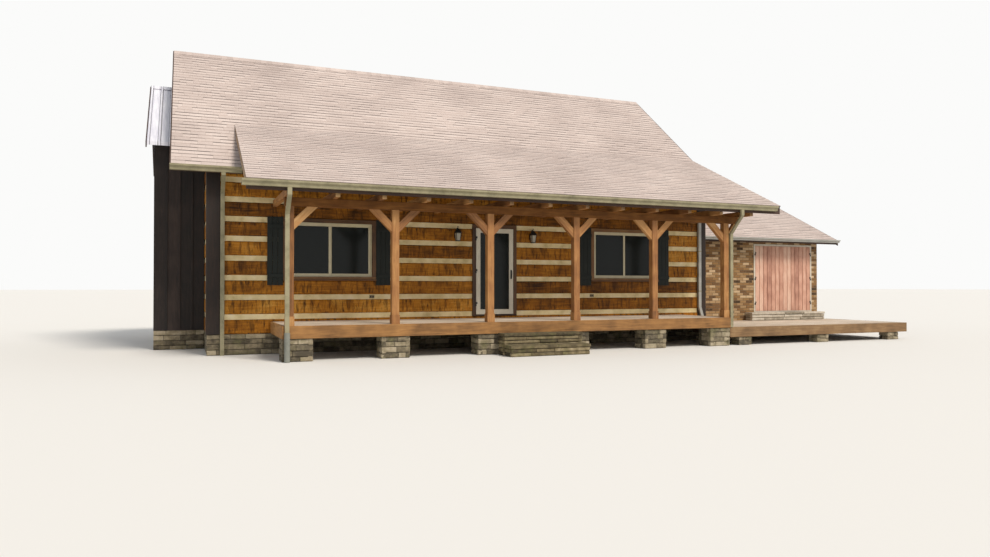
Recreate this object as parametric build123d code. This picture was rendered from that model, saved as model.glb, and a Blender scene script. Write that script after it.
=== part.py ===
"""Log cabin with a five-bay front porch, a dark boarded side annex under a ribbed metal roof, and a low brick wing.

Working frame, in millimetres: X runs along the front wall from the first porch post, Y runs back from
the front faces of the porch posts, and Z runs up from the ground. At the end every piece is moved so that
the origin is the bottom centre of the whole building.
"""
from build123d import *
import os

# Porch frame: posts on a grid of equal bays, a beam on top of them and knee braces between
DECK_TOP = 700.0
BAY = 2100.0
BAYS = 5
POST = 150.0
POST_FOOT = 172.0
POST_FOOT_HEIGHT = 180.0
TIMBER_EASE = 8.0
PORCH_DEPTH = 1990.0
PORCH_HEADROOM = 2324.0
BEAM_HEIGHT = 170.0
BEAM_LEFT_STUB = 25.0
BEAM_RIGHT_STUB = 275.0
BRACE_LEG = 460.0
BRACE_DEPTH = 148.0
BRACE_THICKNESS = 110.0
OUTRIGGER_REACH = 445.0
OUTRIGGER_LEG = 420.0
OUTRIGGER_FOOT = 170.0
OUTRIGGER_HEAD = 130.0

# Log walls: hewn logs in courses, with chinking between them and posts at the corners
WALL_BEFORE_PORCH = 1450.0
WALL_BEYOND_PORCH = 920.0
HOUSE_DEPTH = 8140.0
LOG_THICKNESS = 180.0
LOG_HEIGHT = 305.0
CHINK_HEIGHT = 115.0
CHINK_RECESS = 15.0
COURSES = 9
SILL_LOG_ABOVE_DECK = 52.5
CORNER_POST = 280.0
CORNER_PROUD = 15.0
FOUNDATION_THICKNESS = 300.0
FLOOR_THICKNESS = 250.0

# Openings in the front and back log walls
DOOR_OFFSET = 125.0
DOOR_OPENING = 1160.0
THRESHOLD = 30.0
WINDOW_INSET = 2585.0
WINDOW_OPENING = 2060.0
WINDOW_SILL_COURSE = 3
OPENING_HEAD_COURSE = 6
CASING_FACE = 85.0
CASING_PROUD = 25.0
SILL_PROUD = 30.0
SILL_THICKNESS = 35.0
SILL_FALL = 8.0
TRACK_FACE = 20.0
TRACK_DEPTH = 64.0
SASH_STILE = 36.0
SASH_DEPTH = 28.0
GLASS = 6.0
SHUTTER_WIDTH = 335.0
SHUTTER_HEIGHT = 1490.0
SHUTTER_ABOVE_HEAD = 15.0
SHUTTER_BOARDS = 3
SHUTTER_BOARD = 24.0
SHUTTER_GROOVE = 6.0
SHUTTER_GROOVE_DEPTH = 8.0
SHUTTER_BATTEN = 18.0
SHUTTER_BATTEN_HEIGHT = 90.0
SHUTTER_BATTEN_SHARE = 0.14

# Main roof, with its ridge cap, fascias and rake boards
MAIN_SLOPE = 0.81
MAIN_ROOF_DEPTH = 140.0
MAIN_EAVE = 350.0
RAKE_BEYOND_LEFT_WALL = 700.0
RAKE_BEYOND_RIGHT_WALL = 430.0
FASCIA = 25.0
FASCIA_DROP = 10.0
FASCIA_BELOW_ROOF = 8.0
RAKE_BOARD_DEPTH = 170.0
RAKE_BELOW_ROOF = 10.0
CAP_REACH = 150.0
CAP_THICKNESS = 12.0

# Porch roof: sheathing on rafters that meet the main roof, over joists that cross the beam
PORCH_SLOPE = 0.48
PORCH_EAVE = 400.0
PORCH_EAVE_ABOVE_DECK = 2780.0
PORCH_ROOF_BEFORE_PORCH = 840.0
SHEATHING = 25.0
JOIST_WIDTH = 90.0
JOIST_HEIGHT = 140.0
JOIST_SPACING = 920.0
RAFTER_WIDTH = 45.0
RAFTER_DEPTH = 200.0
BARGE_DEPTH = 170.0
PORCH_FASCIA_ABOVE_BEAM = 75.0

# Porch floor and stone piers
RIM = 45.0
RIM_HEIGHT = 250.0
DECKING = 35.0
FLOOR_JOIST = 45.0
FLOOR_JOIST_SPACING = 600.0
PIER_WIDTH = 600.0
PIER_DEPTH = 450.0
PIER_PROUD = 20.0
DECK_LEFT_PROJECTION = 155.0
DECK_STEP_GAP = 5.0

# Walkway in front of the wing, one step below the porch
WALK_DROP = 240.0
WALK_BEYOND_WING = 380.0
WALK_PROUD = 20.0
WALK_PIERS = 3
WALK_PIER_INSET = 500.0
WALK_PIER_WIDTH = 400.0
WALK_PIER_DEPTH = 300.0

# Stone steps, with treads that overhang their risers
STEPS_OFFSET = 170.0
STEPS_WIDTH = 1900.0
STEP_RISES = 3
STEP_GOING = 360.0
STEP_JOINT = 0.5
TREAD = 70.0
NOSING = 20.0
STOOP_GOING = 320.0
STOOP_BEFORE_DOOR = 350.0

# Side annex on the left gable
ANNEX_LENGTH = 1090.0
ANNEX_SETBACK = 2010.0
ANNEX_WALL = 150.0
ANNEX_EAVE = 350.0
ANNEX_RAKE = 140.0
ANNEX_EAVE_ABOVE_DECK = 4040.0
ANNEX_SLOPE = 0.76
ANNEX_ROOF_DEPTH = 80.0
ANNEX_RAKE_DROP = 60.0
RIB_SPACING = 229.0
RIB_WIDTH = 60.0
RIB_CREST = 24.0
RIB_HEIGHT = 19.0
FLASHING_REACH = 140.0
FLASHING = 3.0

# Brick wing on the right
WING_LENGTH = 4930.0
WING_SETBACK = 810.0
WING_WALL = 200.0
WING_EAVE = 400.0
WING_RAKE = 400.0
WING_EAVE_ABOVE_DECK = 2210.0
WING_SLOPE = 0.50
WING_ROOF_DEPTH = 150.0
WING_FLOOR = 150.0
WING_PIER = 240.0
WING_DOOR_WIDTH = 2260.0
WING_DOOR_HEIGHT = 2040.0
WING_JAMB = 50.0
WING_JAMB_PROUD = 10.0
WING_JAMB_DEPTH = 120.0
WING_SILL = 25.0

# Hung doors and their lift-off hinges
DOOR_GAP = 7.0
STORM_THICKNESS = 40.0
STORM_STILE = 110.0
STORM_BOTTOM_RAIL = 120.0
LEAF_THICKNESS = 45.0
LEAF_BOARDS = 8
LEAF_GROOVE = 6.0
LEAF_GROOVE_DEPTH = 7.0
LEDGE_THICKNESS = 22.0
LEDGE_HEIGHT = 140.0
LEDGE_INSET = 60.0
HINGE_RADIUS = 8.0
HINGE_HEIGHT = 100.0
HINGE_PLATE = 3.0
HINGE_REACH = 30.0
HINGE_SHARES = (0.12, 0.5, 0.88)
HANDLE_ABOVE_DECK = 1060.0
HANDLE_PLATE_WIDTH = 40.0
HANDLE_PLATE_HEIGHT = 220.0
HANDLE_PLATE = 5.0
HANDLE_GRIP = 18.0
HANDLE_GRIP_HEIGHT = 140.0
HANDLE_REACH = 45.0
HANDLE_BAR = 15.0
HANDLE_POST = 20.0

# Gutters and downspouts
GUTTER_WIDTH = 125.0
GUTTER_HEIGHT = 120.0
WING_GUTTER_HEIGHT = 85.0
GUTTER_FLOOR = 80.0
GUTTER_TOE = 8.0
GUTTER_WAIST_SHARE = 0.45
GUTTER_LIP_SHARE = 0.25
GUTTER_SKIN = 4.0
GUTTER_BELOW_ROOF = 20.0
GUTTER_BELOW_SHEATHING = 4.0
GUTTER_END_GAP = 20.0
PORCH_GUTTER_BEFORE_RAKE = 80.0
PORCH_GUTTER_SHORT_OF_RAKE = 150.0
MAIN_GUTTER_UNDER_PORCH = 60.0
OUTLET_FROM_BACK = 45.0
PIPE_WIDTH = 83.0
PIPE_DEPTH = 60.0
PIPE_GAP = 5.0
PIPE_BESIDE_POST = 20.0
POST_PIPE_BEND = 330.0
RIGHT_PIPE_BEND = 420.0
EAVE_PIPE_NECK = 60.0
EAVE_PIPE_BEND = 380.0
KICK_OUT = 120.0
KICK_TOP = 210.0
KICK_FOOT = 60.0
BOOT_TOP = 570.0
BOOT_RADIUS = 54.0
SEAT_GAP = 0.3

# Wall lanterns on both sides of the front door
LANTERN_REACH = 990.0
LANTERN_ABOVE_DECK = 2200.0
LANTERN_OUT = 110.0
LANTERN_PLATE = 20.0
LANTERN_PLATE_WIDTH = 110.0
LANTERN_PLATE_HEIGHT = 140.0
LANTERN_ARM = 20.0
CAGE_BOTTOM = 90.0
CAGE_TOP = 130.0
CAGE_HEIGHT = 200.0
CAGE_TRAY = 10.0
CAGE_WALL = 8.0
CAGE_BAR = 11.0
CAP_BOTTOM = 150.0
CAP_TOP = 40.0
CAP_HEIGHT = 100.0
FINIAL_RADIUS = 10.0
FINIAL_HEIGHT = 60.0
PANE = 3.0
CANDLE_RADIUS = 12.0
CANDLE_HEIGHT = 60.0

LAST_POST = BAY * BAYS
WALL_LEFT = -WALL_BEFORE_PORCH
WALL_RIGHT = LAST_POST + WALL_BEYOND_PORCH
WALL_FRONT = PORCH_DEPTH
WALL_BACK = PORCH_DEPTH + HOUSE_DEPTH
RIDGE_Y = (WALL_FRONT + WALL_BACK) / 2
COURSE = LOG_HEIGHT + CHINK_HEIGHT
SILL_LOG_TOP = DECK_TOP + SILL_LOG_ABOVE_DECK
SILL_LOG_BOTTOM = SILL_LOG_TOP - LOG_HEIGHT
WALL_TOP = SILL_LOG_BOTTOM + (COURSES - 1) * COURSE + LOG_HEIGHT
CORNER_IN = CORNER_POST - CORNER_PROUD
DOOR_CENTRE = (WALL_LEFT + WALL_RIGHT) / 2 + DOOR_OFFSET
WINDOW_CENTRES = (WALL_LEFT + WINDOW_INSET, WALL_RIGHT - WINDOW_INSET)
LANTERN_CENTRES = (DOOR_CENTRE - LANTERN_REACH, DOOR_CENTRE + LANTERN_REACH)
LANTERN_TOP = DECK_TOP + LANTERN_ABOVE_DECK
RAKE_LEFT = WALL_LEFT - RAKE_BEYOND_LEFT_WALL
RAKE_RIGHT = WALL_RIGHT + RAKE_BEYOND_RIGHT_WALL
PORCH_RAKE_LEFT = -PORCH_ROOF_BEFORE_PORCH
BEAM_UNDERSIDE = DECK_TOP + PORCH_HEADROOM
BEAM_TOP = BEAM_UNDERSIDE + BEAM_HEIGHT
JOIST_TOP = BEAM_TOP + JOIST_HEIGHT
PORCH_EAVE_HEIGHT = DECK_TOP + PORCH_EAVE_ABOVE_DECK
DECK_LEFT = -DECK_LEFT_PROJECTION
DECK_RIGHT = LAST_POST + POST_FOOT / 2
RIM_BOTTOM = DECK_TOP - RIM_HEIGHT
ANNEX_LEFT = WALL_LEFT - ANNEX_LENGTH
ANNEX_FRONT = WALL_FRONT + ANNEX_SETBACK
ANNEX_BACK = 2 * RIDGE_Y - ANNEX_FRONT
ANNEX_EAVE_HEIGHT = DECK_TOP + ANNEX_EAVE_ABOVE_DECK
WING_RIGHT = WALL_RIGHT + WING_LENGTH
WING_FRONT = WALL_FRONT + WING_SETBACK
WING_BACK = 2 * RIDGE_Y - WING_FRONT
WING_EAVE_HEIGHT = DECK_TOP + WING_EAVE_ABOVE_DECK
WING_DOOR_RIGHT = WING_RIGHT - WING_PIER
WING_DOOR_LEFT = WING_DOOR_RIGHT - WING_DOOR_WIDTH
WING_DOOR_HEAD = DECK_TOP + WING_DOOR_HEIGHT
WALK_TOP = DECK_TOP - WALK_DROP
WALK_RIGHT = WING_RIGHT + WALK_BEYOND_WING
WALK_FRONT = -WALK_PROUD
STEP_RISE = DECK_TOP / STEP_RISES

parts = {}


def block(x0, x1, y0, y1, z0, z1):
    """A box between two corners."""
    return Pos((x0 + x1) / 2, (y0 + y1) / 2, (z0 + z1) / 2) * Box(x1 - x0, y1 - y0, z1 - z0)


def prism_x(points, x0, x1):
    """An outline in the YZ plane, drawn out along X."""
    outline = Polyline(*[(x0, y, z) for y, z in points], close=True)
    return extrude(make_face(outline), x1 - x0, dir=(1, 0, 0))


def prism_y(points, y0, y1):
    """An outline in the XZ plane, drawn out along Y."""
    outline = Polyline(*[(x, y0, z) for x, z in points], close=True)
    return extrude(make_face(outline), y1 - y0, dir=(0, 1, 0))


def eased(shape, axis, ease=TIMBER_EASE):
    """A timber with its long edges taken off; axis is the one that it runs along."""
    return chamfer(shape.edges().filter_by(axis), ease)


def ring(x0, x1, y0, y1, z0, z1, stile, foot=None, head=None):
    """Two stiles between a head and a foot, as one frame round an opening that is seen from the front."""
    foot = stile if foot is None else foot
    head = stile if head is None else head
    return block(x0, x1, y0, y1, z0, z1) - block(x0 + stile, x1 - stile, y0, y1, z0 + foot, z1 - head)


def gather(*shapes):
    """Separate solids that share one node."""
    return Compound(children=[solid for shape in shapes for solid in shape.solids()])


def mirror_back(shape):
    """The same piece on the other side of the ridge."""
    return mirror(shape, about=Plane.XZ.offset(-RIDGE_Y))


def course_bottom(course):
    """Underside of a log, counted from the sill log."""
    return SILL_LOG_BOTTOM + course * COURSE


def main_roof_z(y):
    """Top of the main roof's front slope."""
    return WALL_TOP + MAIN_ROOF_DEPTH + MAIN_SLOPE * (y - WALL_FRONT)


def porch_roof_z(y):
    """Top of the porch roof."""
    return PORCH_EAVE_HEIGHT + PORCH_SLOPE * (y + PORCH_EAVE)


def annex_roof_z(y):
    """Top of the annex roof's front slope."""
    return ANNEX_EAVE_HEIGHT + ANNEX_SLOPE * (y - ANNEX_FRONT + ANNEX_EAVE)


def wing_roof_z(y):
    """Top of the wing roof's front slope."""
    return WING_EAVE_HEIGHT + WING_SLOPE * (y - WING_FRONT + WING_EAVE)


def slope_slab(height_of, eave_y, depth, x0, x1):
    """One roof slope from its eave to the ridge, with plumb cut ends."""
    outline = [(eave_y, height_of(eave_y)), (RIDGE_Y, height_of(RIDGE_Y)),
               (RIDGE_Y, height_of(RIDGE_Y) - depth), (eave_y, height_of(eave_y) - depth)]
    return prism_x(outline, x0, x1)


def ridge_strip(height_of, lift, reach, thickness, x0, x1):
    """A strip bent over a ridge, lift above both slopes."""
    peak, edge = height_of(RIDGE_Y) + lift, height_of(RIDGE_Y - reach) + lift
    outline = [(RIDGE_Y - reach, edge), (RIDGE_Y, peak), (RIDGE_Y + reach, edge),
               (RIDGE_Y + reach, edge + thickness), (RIDGE_Y, peak + thickness), (RIDGE_Y - reach, edge + thickness)]
    return prism_x(outline, x0, x1)


# Stone foundation, with the wall logs standing on it
parts["foundation_long_walls"] = gather(
    block(WALL_LEFT, WALL_RIGHT, WALL_FRONT, WALL_FRONT + FOUNDATION_THICKNESS, 0, SILL_LOG_BOTTOM),
    block(WALL_LEFT, WALL_RIGHT, WALL_BACK - FOUNDATION_THICKNESS, WALL_BACK, 0, SILL_LOG_BOTTOM),
    block(ANNEX_LEFT, WALL_LEFT, ANNEX_FRONT, ANNEX_FRONT + ANNEX_WALL, 0, SILL_LOG_BOTTOM),
    block(ANNEX_LEFT, WALL_LEFT, ANNEX_BACK - ANNEX_WALL, ANNEX_BACK, 0, SILL_LOG_BOTTOM),
)
parts["foundation_end_walls"] = gather(
    block(WALL_LEFT, WALL_LEFT + FOUNDATION_THICKNESS, WALL_FRONT + FOUNDATION_THICKNESS,
          WALL_BACK - FOUNDATION_THICKNESS, 0, SILL_LOG_BOTTOM),
    block(WALL_RIGHT - FOUNDATION_THICKNESS, WALL_RIGHT, WALL_FRONT + FOUNDATION_THICKNESS,
          WALL_BACK - FOUNDATION_THICKNESS, 0, SILL_LOG_BOTTOM),
    block(ANNEX_LEFT, ANNEX_LEFT + ANNEX_WALL, ANNEX_FRONT + ANNEX_WALL, ANNEX_BACK - ANNEX_WALL,
          0, SILL_LOG_BOTTOM),
)
CORNERS = [(x, dx, y, dy) for x, dx in ((WALL_LEFT, 1), (WALL_RIGHT, -1))
           for y, dy in ((WALL_FRONT, 1), (WALL_BACK, -1))]
main_floor = block(
    WALL_LEFT + LOG_THICKNESS, WALL_RIGHT - LOG_THICKNESS, WALL_FRONT + LOG_THICKNESS,
    WALL_BACK - LOG_THICKNESS, SILL_LOG_BOTTOM, SILL_LOG_BOTTOM + FLOOR_THICKNESS)
for x, dx, y, dy in CORNERS:
    x0, x1 = sorted((x + dx * LOG_THICKNESS, x + dx * CORNER_IN))
    y0, y1 = sorted((y + dy * LOG_THICKNESS, y + dy * CORNER_IN))
    main_floor -= block(x0, x1, y0, y1, SILL_LOG_BOTTOM, SILL_LOG_BOTTOM + FLOOR_THICKNESS)
parts["main_floor"] = main_floor


# Log walls between four corner posts
def stretches(start, end, z0, z1, openings):
    """The parts of a course that its openings leave, as pairs along the wall."""
    left = []
    at = start
    for low, high, sill, head in sorted(openings):
        if sill < z1 and head > z0:
            left.append((at, low))
            at = high
    left.append((at, end))
    return left


def log_wall(along, start, end, face, inward, openings):
    """The hewn logs and the chinking of one wall: along is x or y, face is the outer face, inward is +1 or -1."""
    logs, chinks = [], []

    def piece(a, b, z0, z1, recess):
        """One log or strip of chinking; the logs' long edges are eased as far as the chinking lies back."""
        outer = face + inward * recess
        inner = face + inward * (LOG_THICKNESS - recess)
        low, high = min(outer, inner), max(outer, inner)
        ease = CHINK_RECESS - recess
        outline = [(low + ease, z0), (high - ease, z0), (high, z0 + ease), (high, z1 - ease),
                   (high - ease, z1), (low + ease, z1), (low, z1 - ease), (low, z0 + ease)]
        if not ease:
            outline = [(low, z0), (high, z0), (high, z1), (low, z1)]
        return prism_x(outline, a, b) if along == "x" else prism_y(outline, a, b)

    for course in range(COURSES):
        z0 = course_bottom(course)
        for a, b in stretches(start, end, z0, z0 + LOG_HEIGHT, openings):
            logs.append(piece(a, b, z0, z0 + LOG_HEIGHT, 0))
        if course < COURSES - 1:
            z1 = z0 + LOG_HEIGHT
            for a, b in stretches(start, end, z1, z1 + CHINK_HEIGHT, openings):
                chinks.append(piece(a, b, z1, z1 + CHINK_HEIGHT, CHINK_RECESS))
    return gather(*logs), gather(*chinks)


WINDOW_SILL = course_bottom(WINDOW_SILL_COURSE - 1) + LOG_HEIGHT
OPENING_HEAD = course_bottom(OPENING_HEAD_COURSE)
door_hole = (DOOR_CENTRE - DOOR_OPENING / 2, DOOR_CENTRE + DOOR_OPENING / 2, SILL_LOG_TOP, OPENING_HEAD)
window_holes = [(c - WINDOW_OPENING / 2, c + WINDOW_OPENING / 2, WINDOW_SILL, OPENING_HEAD)
                for c in WINDOW_CENTRES]
parts["front_wall_logs"], front_chinks = log_wall(
    "x", WALL_LEFT + CORNER_IN, WALL_RIGHT - CORNER_IN, WALL_FRONT, 1, [door_hole] + window_holes)
parts["back_wall_logs"], back_chinks = log_wall(
    "x", WALL_LEFT + CORNER_IN, WALL_RIGHT - CORNER_IN, WALL_BACK, -1, window_holes)
left_logs, left_chinks = log_wall("y", WALL_FRONT + CORNER_IN, WALL_BACK - CORNER_IN, WALL_LEFT, 1, [])
right_logs, right_chinks = log_wall("y", WALL_FRONT + CORNER_IN, WALL_BACK - CORNER_IN, WALL_RIGHT, -1, [])
parts["end_wall_logs"] = gather(left_logs, right_logs)
parts["wall_chinking"] = gather(front_chinks, back_chinks, left_chinks, right_chinks)
corner_top = main_roof_z(WALL_FRONT - CORNER_PROUD) - MAIN_ROOF_DEPTH
corners = []
for x, dx, y, dy in CORNERS:
    x0, x1 = sorted((x - dx * CORNER_PROUD, x + dx * CORNER_IN))
    y0, y1 = sorted((y - dy * CORNER_PROUD, y + dy * CORNER_IN))
    corners.append(eased(block(x0, x1, y0, y1, SILL_LOG_BOTTOM, corner_top), Axis.Z))
parts["corner_posts"] = gather(*corners)

# Boarded gables above the log walls
gable_foot = WALL_FRONT + CORNER_IN
gable = [(gable_foot, WALL_TOP), (WALL_BACK - CORNER_IN, WALL_TOP),
         (WALL_BACK - CORNER_IN, main_roof_z(gable_foot) - MAIN_ROOF_DEPTH),
         (RIDGE_Y, main_roof_z(RIDGE_Y) - MAIN_ROOF_DEPTH),
         (gable_foot, main_roof_z(gable_foot) - MAIN_ROOF_DEPTH)]
wing_wall_top = wing_roof_z(WING_FRONT) - WING_ROOF_DEPTH
wing_gable = [(WING_FRONT, wing_wall_top), (WING_BACK, wing_wall_top),
              (RIDGE_Y, wing_roof_z(RIDGE_Y) - WING_ROOF_DEPTH)]
parts["boarded_gables"] = gather(
    prism_x(gable, WALL_LEFT, WALL_LEFT + LOG_THICKNESS),
    prism_x(gable, WALL_RIGHT - LOG_THICKNESS, WALL_RIGHT),
    prism_x(wing_gable, WING_RIGHT - WING_WALL, WING_RIGHT),
)

# Main roof, and the caps over its ridge and the wing's
eave_y = WALL_FRONT - MAIN_EAVE
parts["main_roof_front"] = slope_slab(main_roof_z, eave_y, MAIN_ROOF_DEPTH, RAKE_LEFT, RAKE_RIGHT)
parts["main_roof_back"] = mirror_back(parts["main_roof_front"])
parts["ridge_caps"] = gather(
    ridge_strip(main_roof_z, 0, CAP_REACH, CAP_THICKNESS, RAKE_LEFT, RAKE_RIGHT),
    ridge_strip(wing_roof_z, 0, CAP_REACH, CAP_THICKNESS, WALL_RIGHT, WING_RIGHT + WING_RAKE),
)


# Two-light sliding windows, front and back: casing with a sloping sill, track frame, and two sashes that overlap
def window_unit(centre):
    """The casing, the frame with its two sashes, and the two panes of one window in the front wall."""
    x0, x1 = centre - WINDOW_OPENING / 2, centre + WINDOW_OPENING / 2
    front, back = WALL_FRONT - CASING_PROUD, WALL_FRONT + LOG_THICKNESS
    sill_top = WINDOW_SILL + SILL_THICKNESS
    sill = prism_x([(front - SILL_PROUD, WINDOW_SILL), (front, WINDOW_SILL), (front, sill_top),
                    (front - SILL_PROUD, sill_top - SILL_FALL)], x0, x1)
    casing = ring(x0, x1, front, back, WINDOW_SILL, OPENING_HEAD, CASING_FACE) + sill
    a, b = x0 + CASING_FACE, x1 - CASING_FACE
    low, high = WINDOW_SILL + CASING_FACE, OPENING_HEAD - CASING_FACE
    y0 = WALL_FRONT + CASING_PROUD
    track = ring(a, b, y0, y0 + TRACK_DEPTH, low, high, TRACK_FACE)
    sash_y = [y0 + (TRACK_DEPTH - 2 * SASH_DEPTH) / 3]
    sash_y.append(sash_y[0] + SASH_DEPTH + (TRACK_DEPTH - 2 * SASH_DEPTH) / 3)
    sashes, panes = [], []
    spans = ((a + TRACK_FACE, centre + SASH_STILE / 2), (centre - SASH_STILE / 2, b - TRACK_FACE))
    for (left, right), y in zip(spans, sash_y):
        bottom, top = low + TRACK_FACE, high - TRACK_FACE
        sashes.append(ring(left, right, y, y + SASH_DEPTH, bottom, top, SASH_STILE))
        middle = y + SASH_DEPTH / 2
        panes.append(block(left + SASH_STILE, right - SASH_STILE, middle - GLASS / 2, middle + GLASS / 2,
                           bottom + SASH_STILE, top - SASH_STILE))
    return casing, [track] + sashes, panes


casings, sashes, panes = [], [], []
for centre in WINDOW_CENTRES:
    casing, sash, glass = window_unit(centre)
    casings += [casing, mirror_back(casing)]
    sashes += sash + [mirror_back(piece) for piece in sash]
    panes += glass + [mirror_back(pane) for pane in glass]
parts["window_casings"] = gather(*casings)
parts["window_sashes"] = gather(*sashes)
parts["window_glass"] = gather(*panes)


# Board and batten shutters beside the front windows
def shutter(x0):
    """Grooved boards under an upper and a lower batten."""
    x1 = x0 + SHUTTER_WIDTH
    top = OPENING_HEAD + SHUTTER_ABOVE_HEAD
    bottom = top - SHUTTER_HEIGHT
    face = WALL_FRONT - SHUTTER_BOARD
    leaf = block(x0, x1, face, WALL_FRONT, bottom, top)
    for i in range(1, SHUTTER_BOARDS):
        groove = x0 + i * SHUTTER_WIDTH / SHUTTER_BOARDS
        leaf -= block(groove - SHUTTER_GROOVE / 2, groove + SHUTTER_GROOVE / 2, face, face + SHUTTER_GROOVE_DEPTH,
                      bottom, top)
    half = SHUTTER_BATTEN_HEIGHT / 2
    inset = SHUTTER_BATTEN_SHARE * SHUTTER_HEIGHT
    for z in (bottom + inset, top - inset):
        leaf += block(x0, x1, face - SHUTTER_BATTEN, face, z - half, z + half)
    return leaf


parts["shutters"] = gather(*[
    shutter(x) for c in WINDOW_CENTRES
    for x in (c - WINDOW_OPENING / 2 - SHUTTER_WIDTH, c + WINDOW_OPENING / 2)])

# Front door casing and the glazed storm door hung on its left jamb
hole_left, hole_right = door_hole[0], door_hole[1]
casing_front, casing_back = WALL_FRONT - CASING_PROUD, WALL_FRONT + LOG_THICKNESS
parts["front_door_casing"] = ring(hole_left, hole_right, casing_front, casing_back, SILL_LOG_TOP, OPENING_HEAD,
                                  CASING_FACE, foot=THRESHOLD)
storm_left = hole_left + CASING_FACE + DOOR_GAP
storm_right = hole_right - CASING_FACE - DOOR_GAP
storm_bottom = SILL_LOG_TOP + THRESHOLD + DOOR_GAP
storm_top = OPENING_HEAD - CASING_FACE - DOOR_GAP
storm_front = casing_front
storm_back = storm_front + STORM_THICKNESS
storm_middle = (storm_front + storm_back) / 2
parts["storm_door_frame"] = ring(storm_left, storm_right, storm_front, storm_back, storm_bottom, storm_top,
                                 STORM_STILE, foot=STORM_BOTTOM_RAIL)
parts["storm_door_glass"] = block(
    storm_left + STORM_STILE, storm_right - STORM_STILE, storm_middle - GLASS / 2, storm_middle + GLASS / 2,
    storm_bottom + STORM_BOTTOM_RAIL, storm_top - STORM_STILE)


def pull_handle(x, face_y, z):
    """A bow handle on a plate, standing in front of the plane face_y."""
    grip_back = face_y - HANDLE_PLATE
    front = face_y - HANDLE_REACH
    half, grip = HANDLE_GRIP / 2, HANDLE_GRIP_HEIGHT / 2
    plate = block(x - HANDLE_PLATE_WIDTH / 2, x + HANDLE_PLATE_WIDTH / 2, grip_back, face_y,
                  z - HANDLE_PLATE_HEIGHT / 2, z + HANDLE_PLATE_HEIGHT / 2)
    bow = block(x - half, x + half, front, grip_back, z - grip, z + grip)
    bow -= block(x - half, x + half, front + HANDLE_BAR, grip_back, z - grip + HANDLE_POST, z + grip - HANDLE_POST)
    return plate + bow


parts["storm_door_handle"] = pull_handle(storm_right - STORM_STILE / 2, storm_front, DECK_TOP + HANDLE_ABOVE_DECK)


# Wall lanterns: an open tapered cage with glass inside it, under a pyramid cap that hangs from an arm
def frustum(x, y, z0, z1, low, high):
    """A square taper, low wide at z0 and high wide at z1."""
    return loft([Pos(x, y, z0) * Rectangle(low, low), Pos(x, y, z1) * Rectangle(high, high)])


def cage_width(z_share, inset=0.0):
    """Width of the lantern's cage at a share of its height."""
    return CAGE_BOTTOM + (CAGE_TOP - CAGE_BOTTOM) * z_share - 2 * inset


def lantern(x):
    """One lantern's metalwork and its glass."""
    y = WALL_FRONT - LANTERN_OUT
    cap_top = LANTERN_TOP - FINIAL_HEIGHT
    cage_top = cap_top - CAP_HEIGHT
    bottom = cage_top - CAGE_HEIGHT
    tray_top = bottom + CAGE_TRAY
    tray = CAGE_TRAY / CAGE_HEIGHT
    metal = frustum(x, y, bottom, cage_top, CAGE_BOTTOM, CAGE_TOP)
    metal -= frustum(x, y, tray_top, cage_top, cage_width(tray, CAGE_WALL), cage_width(1, CAGE_WALL))
    light_low, light_high = tray_top + CAGE_BAR, cage_top - CAGE_BAR
    low_half = cage_width((light_low - bottom) / CAGE_HEIGHT, CAGE_BAR) / 2
    high_half = cage_width((light_high - bottom) / CAGE_HEIGHT, CAGE_BAR) / 2
    reach = CAGE_TOP / 2
    light = [(-low_half, light_low), (low_half, light_low), (high_half, light_high), (-high_half, light_high)]
    metal -= prism_y([(x + a, z) for a, z in light], y - reach, y + reach)
    metal -= prism_x([(y + a, z) for a, z in light], x - reach, x + reach)
    cap = frustum(x, y, cage_top, cap_top, CAP_BOTTOM, CAP_TOP)
    finial = Pos(x, y, cap_top + FINIAL_HEIGHT / 2) * Cylinder(FINIAL_RADIUS, FINIAL_HEIGHT)
    half, plate = LANTERN_ARM / 2, LANTERN_PLATE_HEIGHT / 2
    middle = (bottom + cap_top) / 2
    back = block(x - LANTERN_PLATE_WIDTH / 2, x + LANTERN_PLATE_WIDTH / 2, WALL_FRONT - LANTERN_PLATE, WALL_FRONT,
                 middle - plate, middle + plate)
    arm_back = WALL_FRONT - LANTERN_PLATE
    arm = block(x - half, x + half, arm_back - LANTERN_ARM, arm_back, middle, cap_top + LANTERN_ARM)
    arm += block(x - half, x + half, y, arm_back, cap_top, cap_top + LANTERN_ARM)
    candle = Pos(x, y, tray_top + CANDLE_HEIGHT / 2) * Cylinder(CANDLE_RADIUS, CANDLE_HEIGHT)
    panes = frustum(x, y, tray_top, cage_top, cage_width(tray, CAGE_WALL), cage_width(1, CAGE_WALL))
    panes -= frustum(x, y, tray_top, cage_top, cage_width(tray, CAGE_WALL + PANE), cage_width(1, CAGE_WALL + PANE))
    return metal + cap + finial + back + arm + candle, panes


lanterns = [lantern(x) for x in LANTERN_CENTRES]
parts["wall_lanterns"] = gather(*[metal for metal, panes in lanterns])
parts["lantern_glass"] = gather(*[panes for metal, panes in lanterns])

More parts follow.
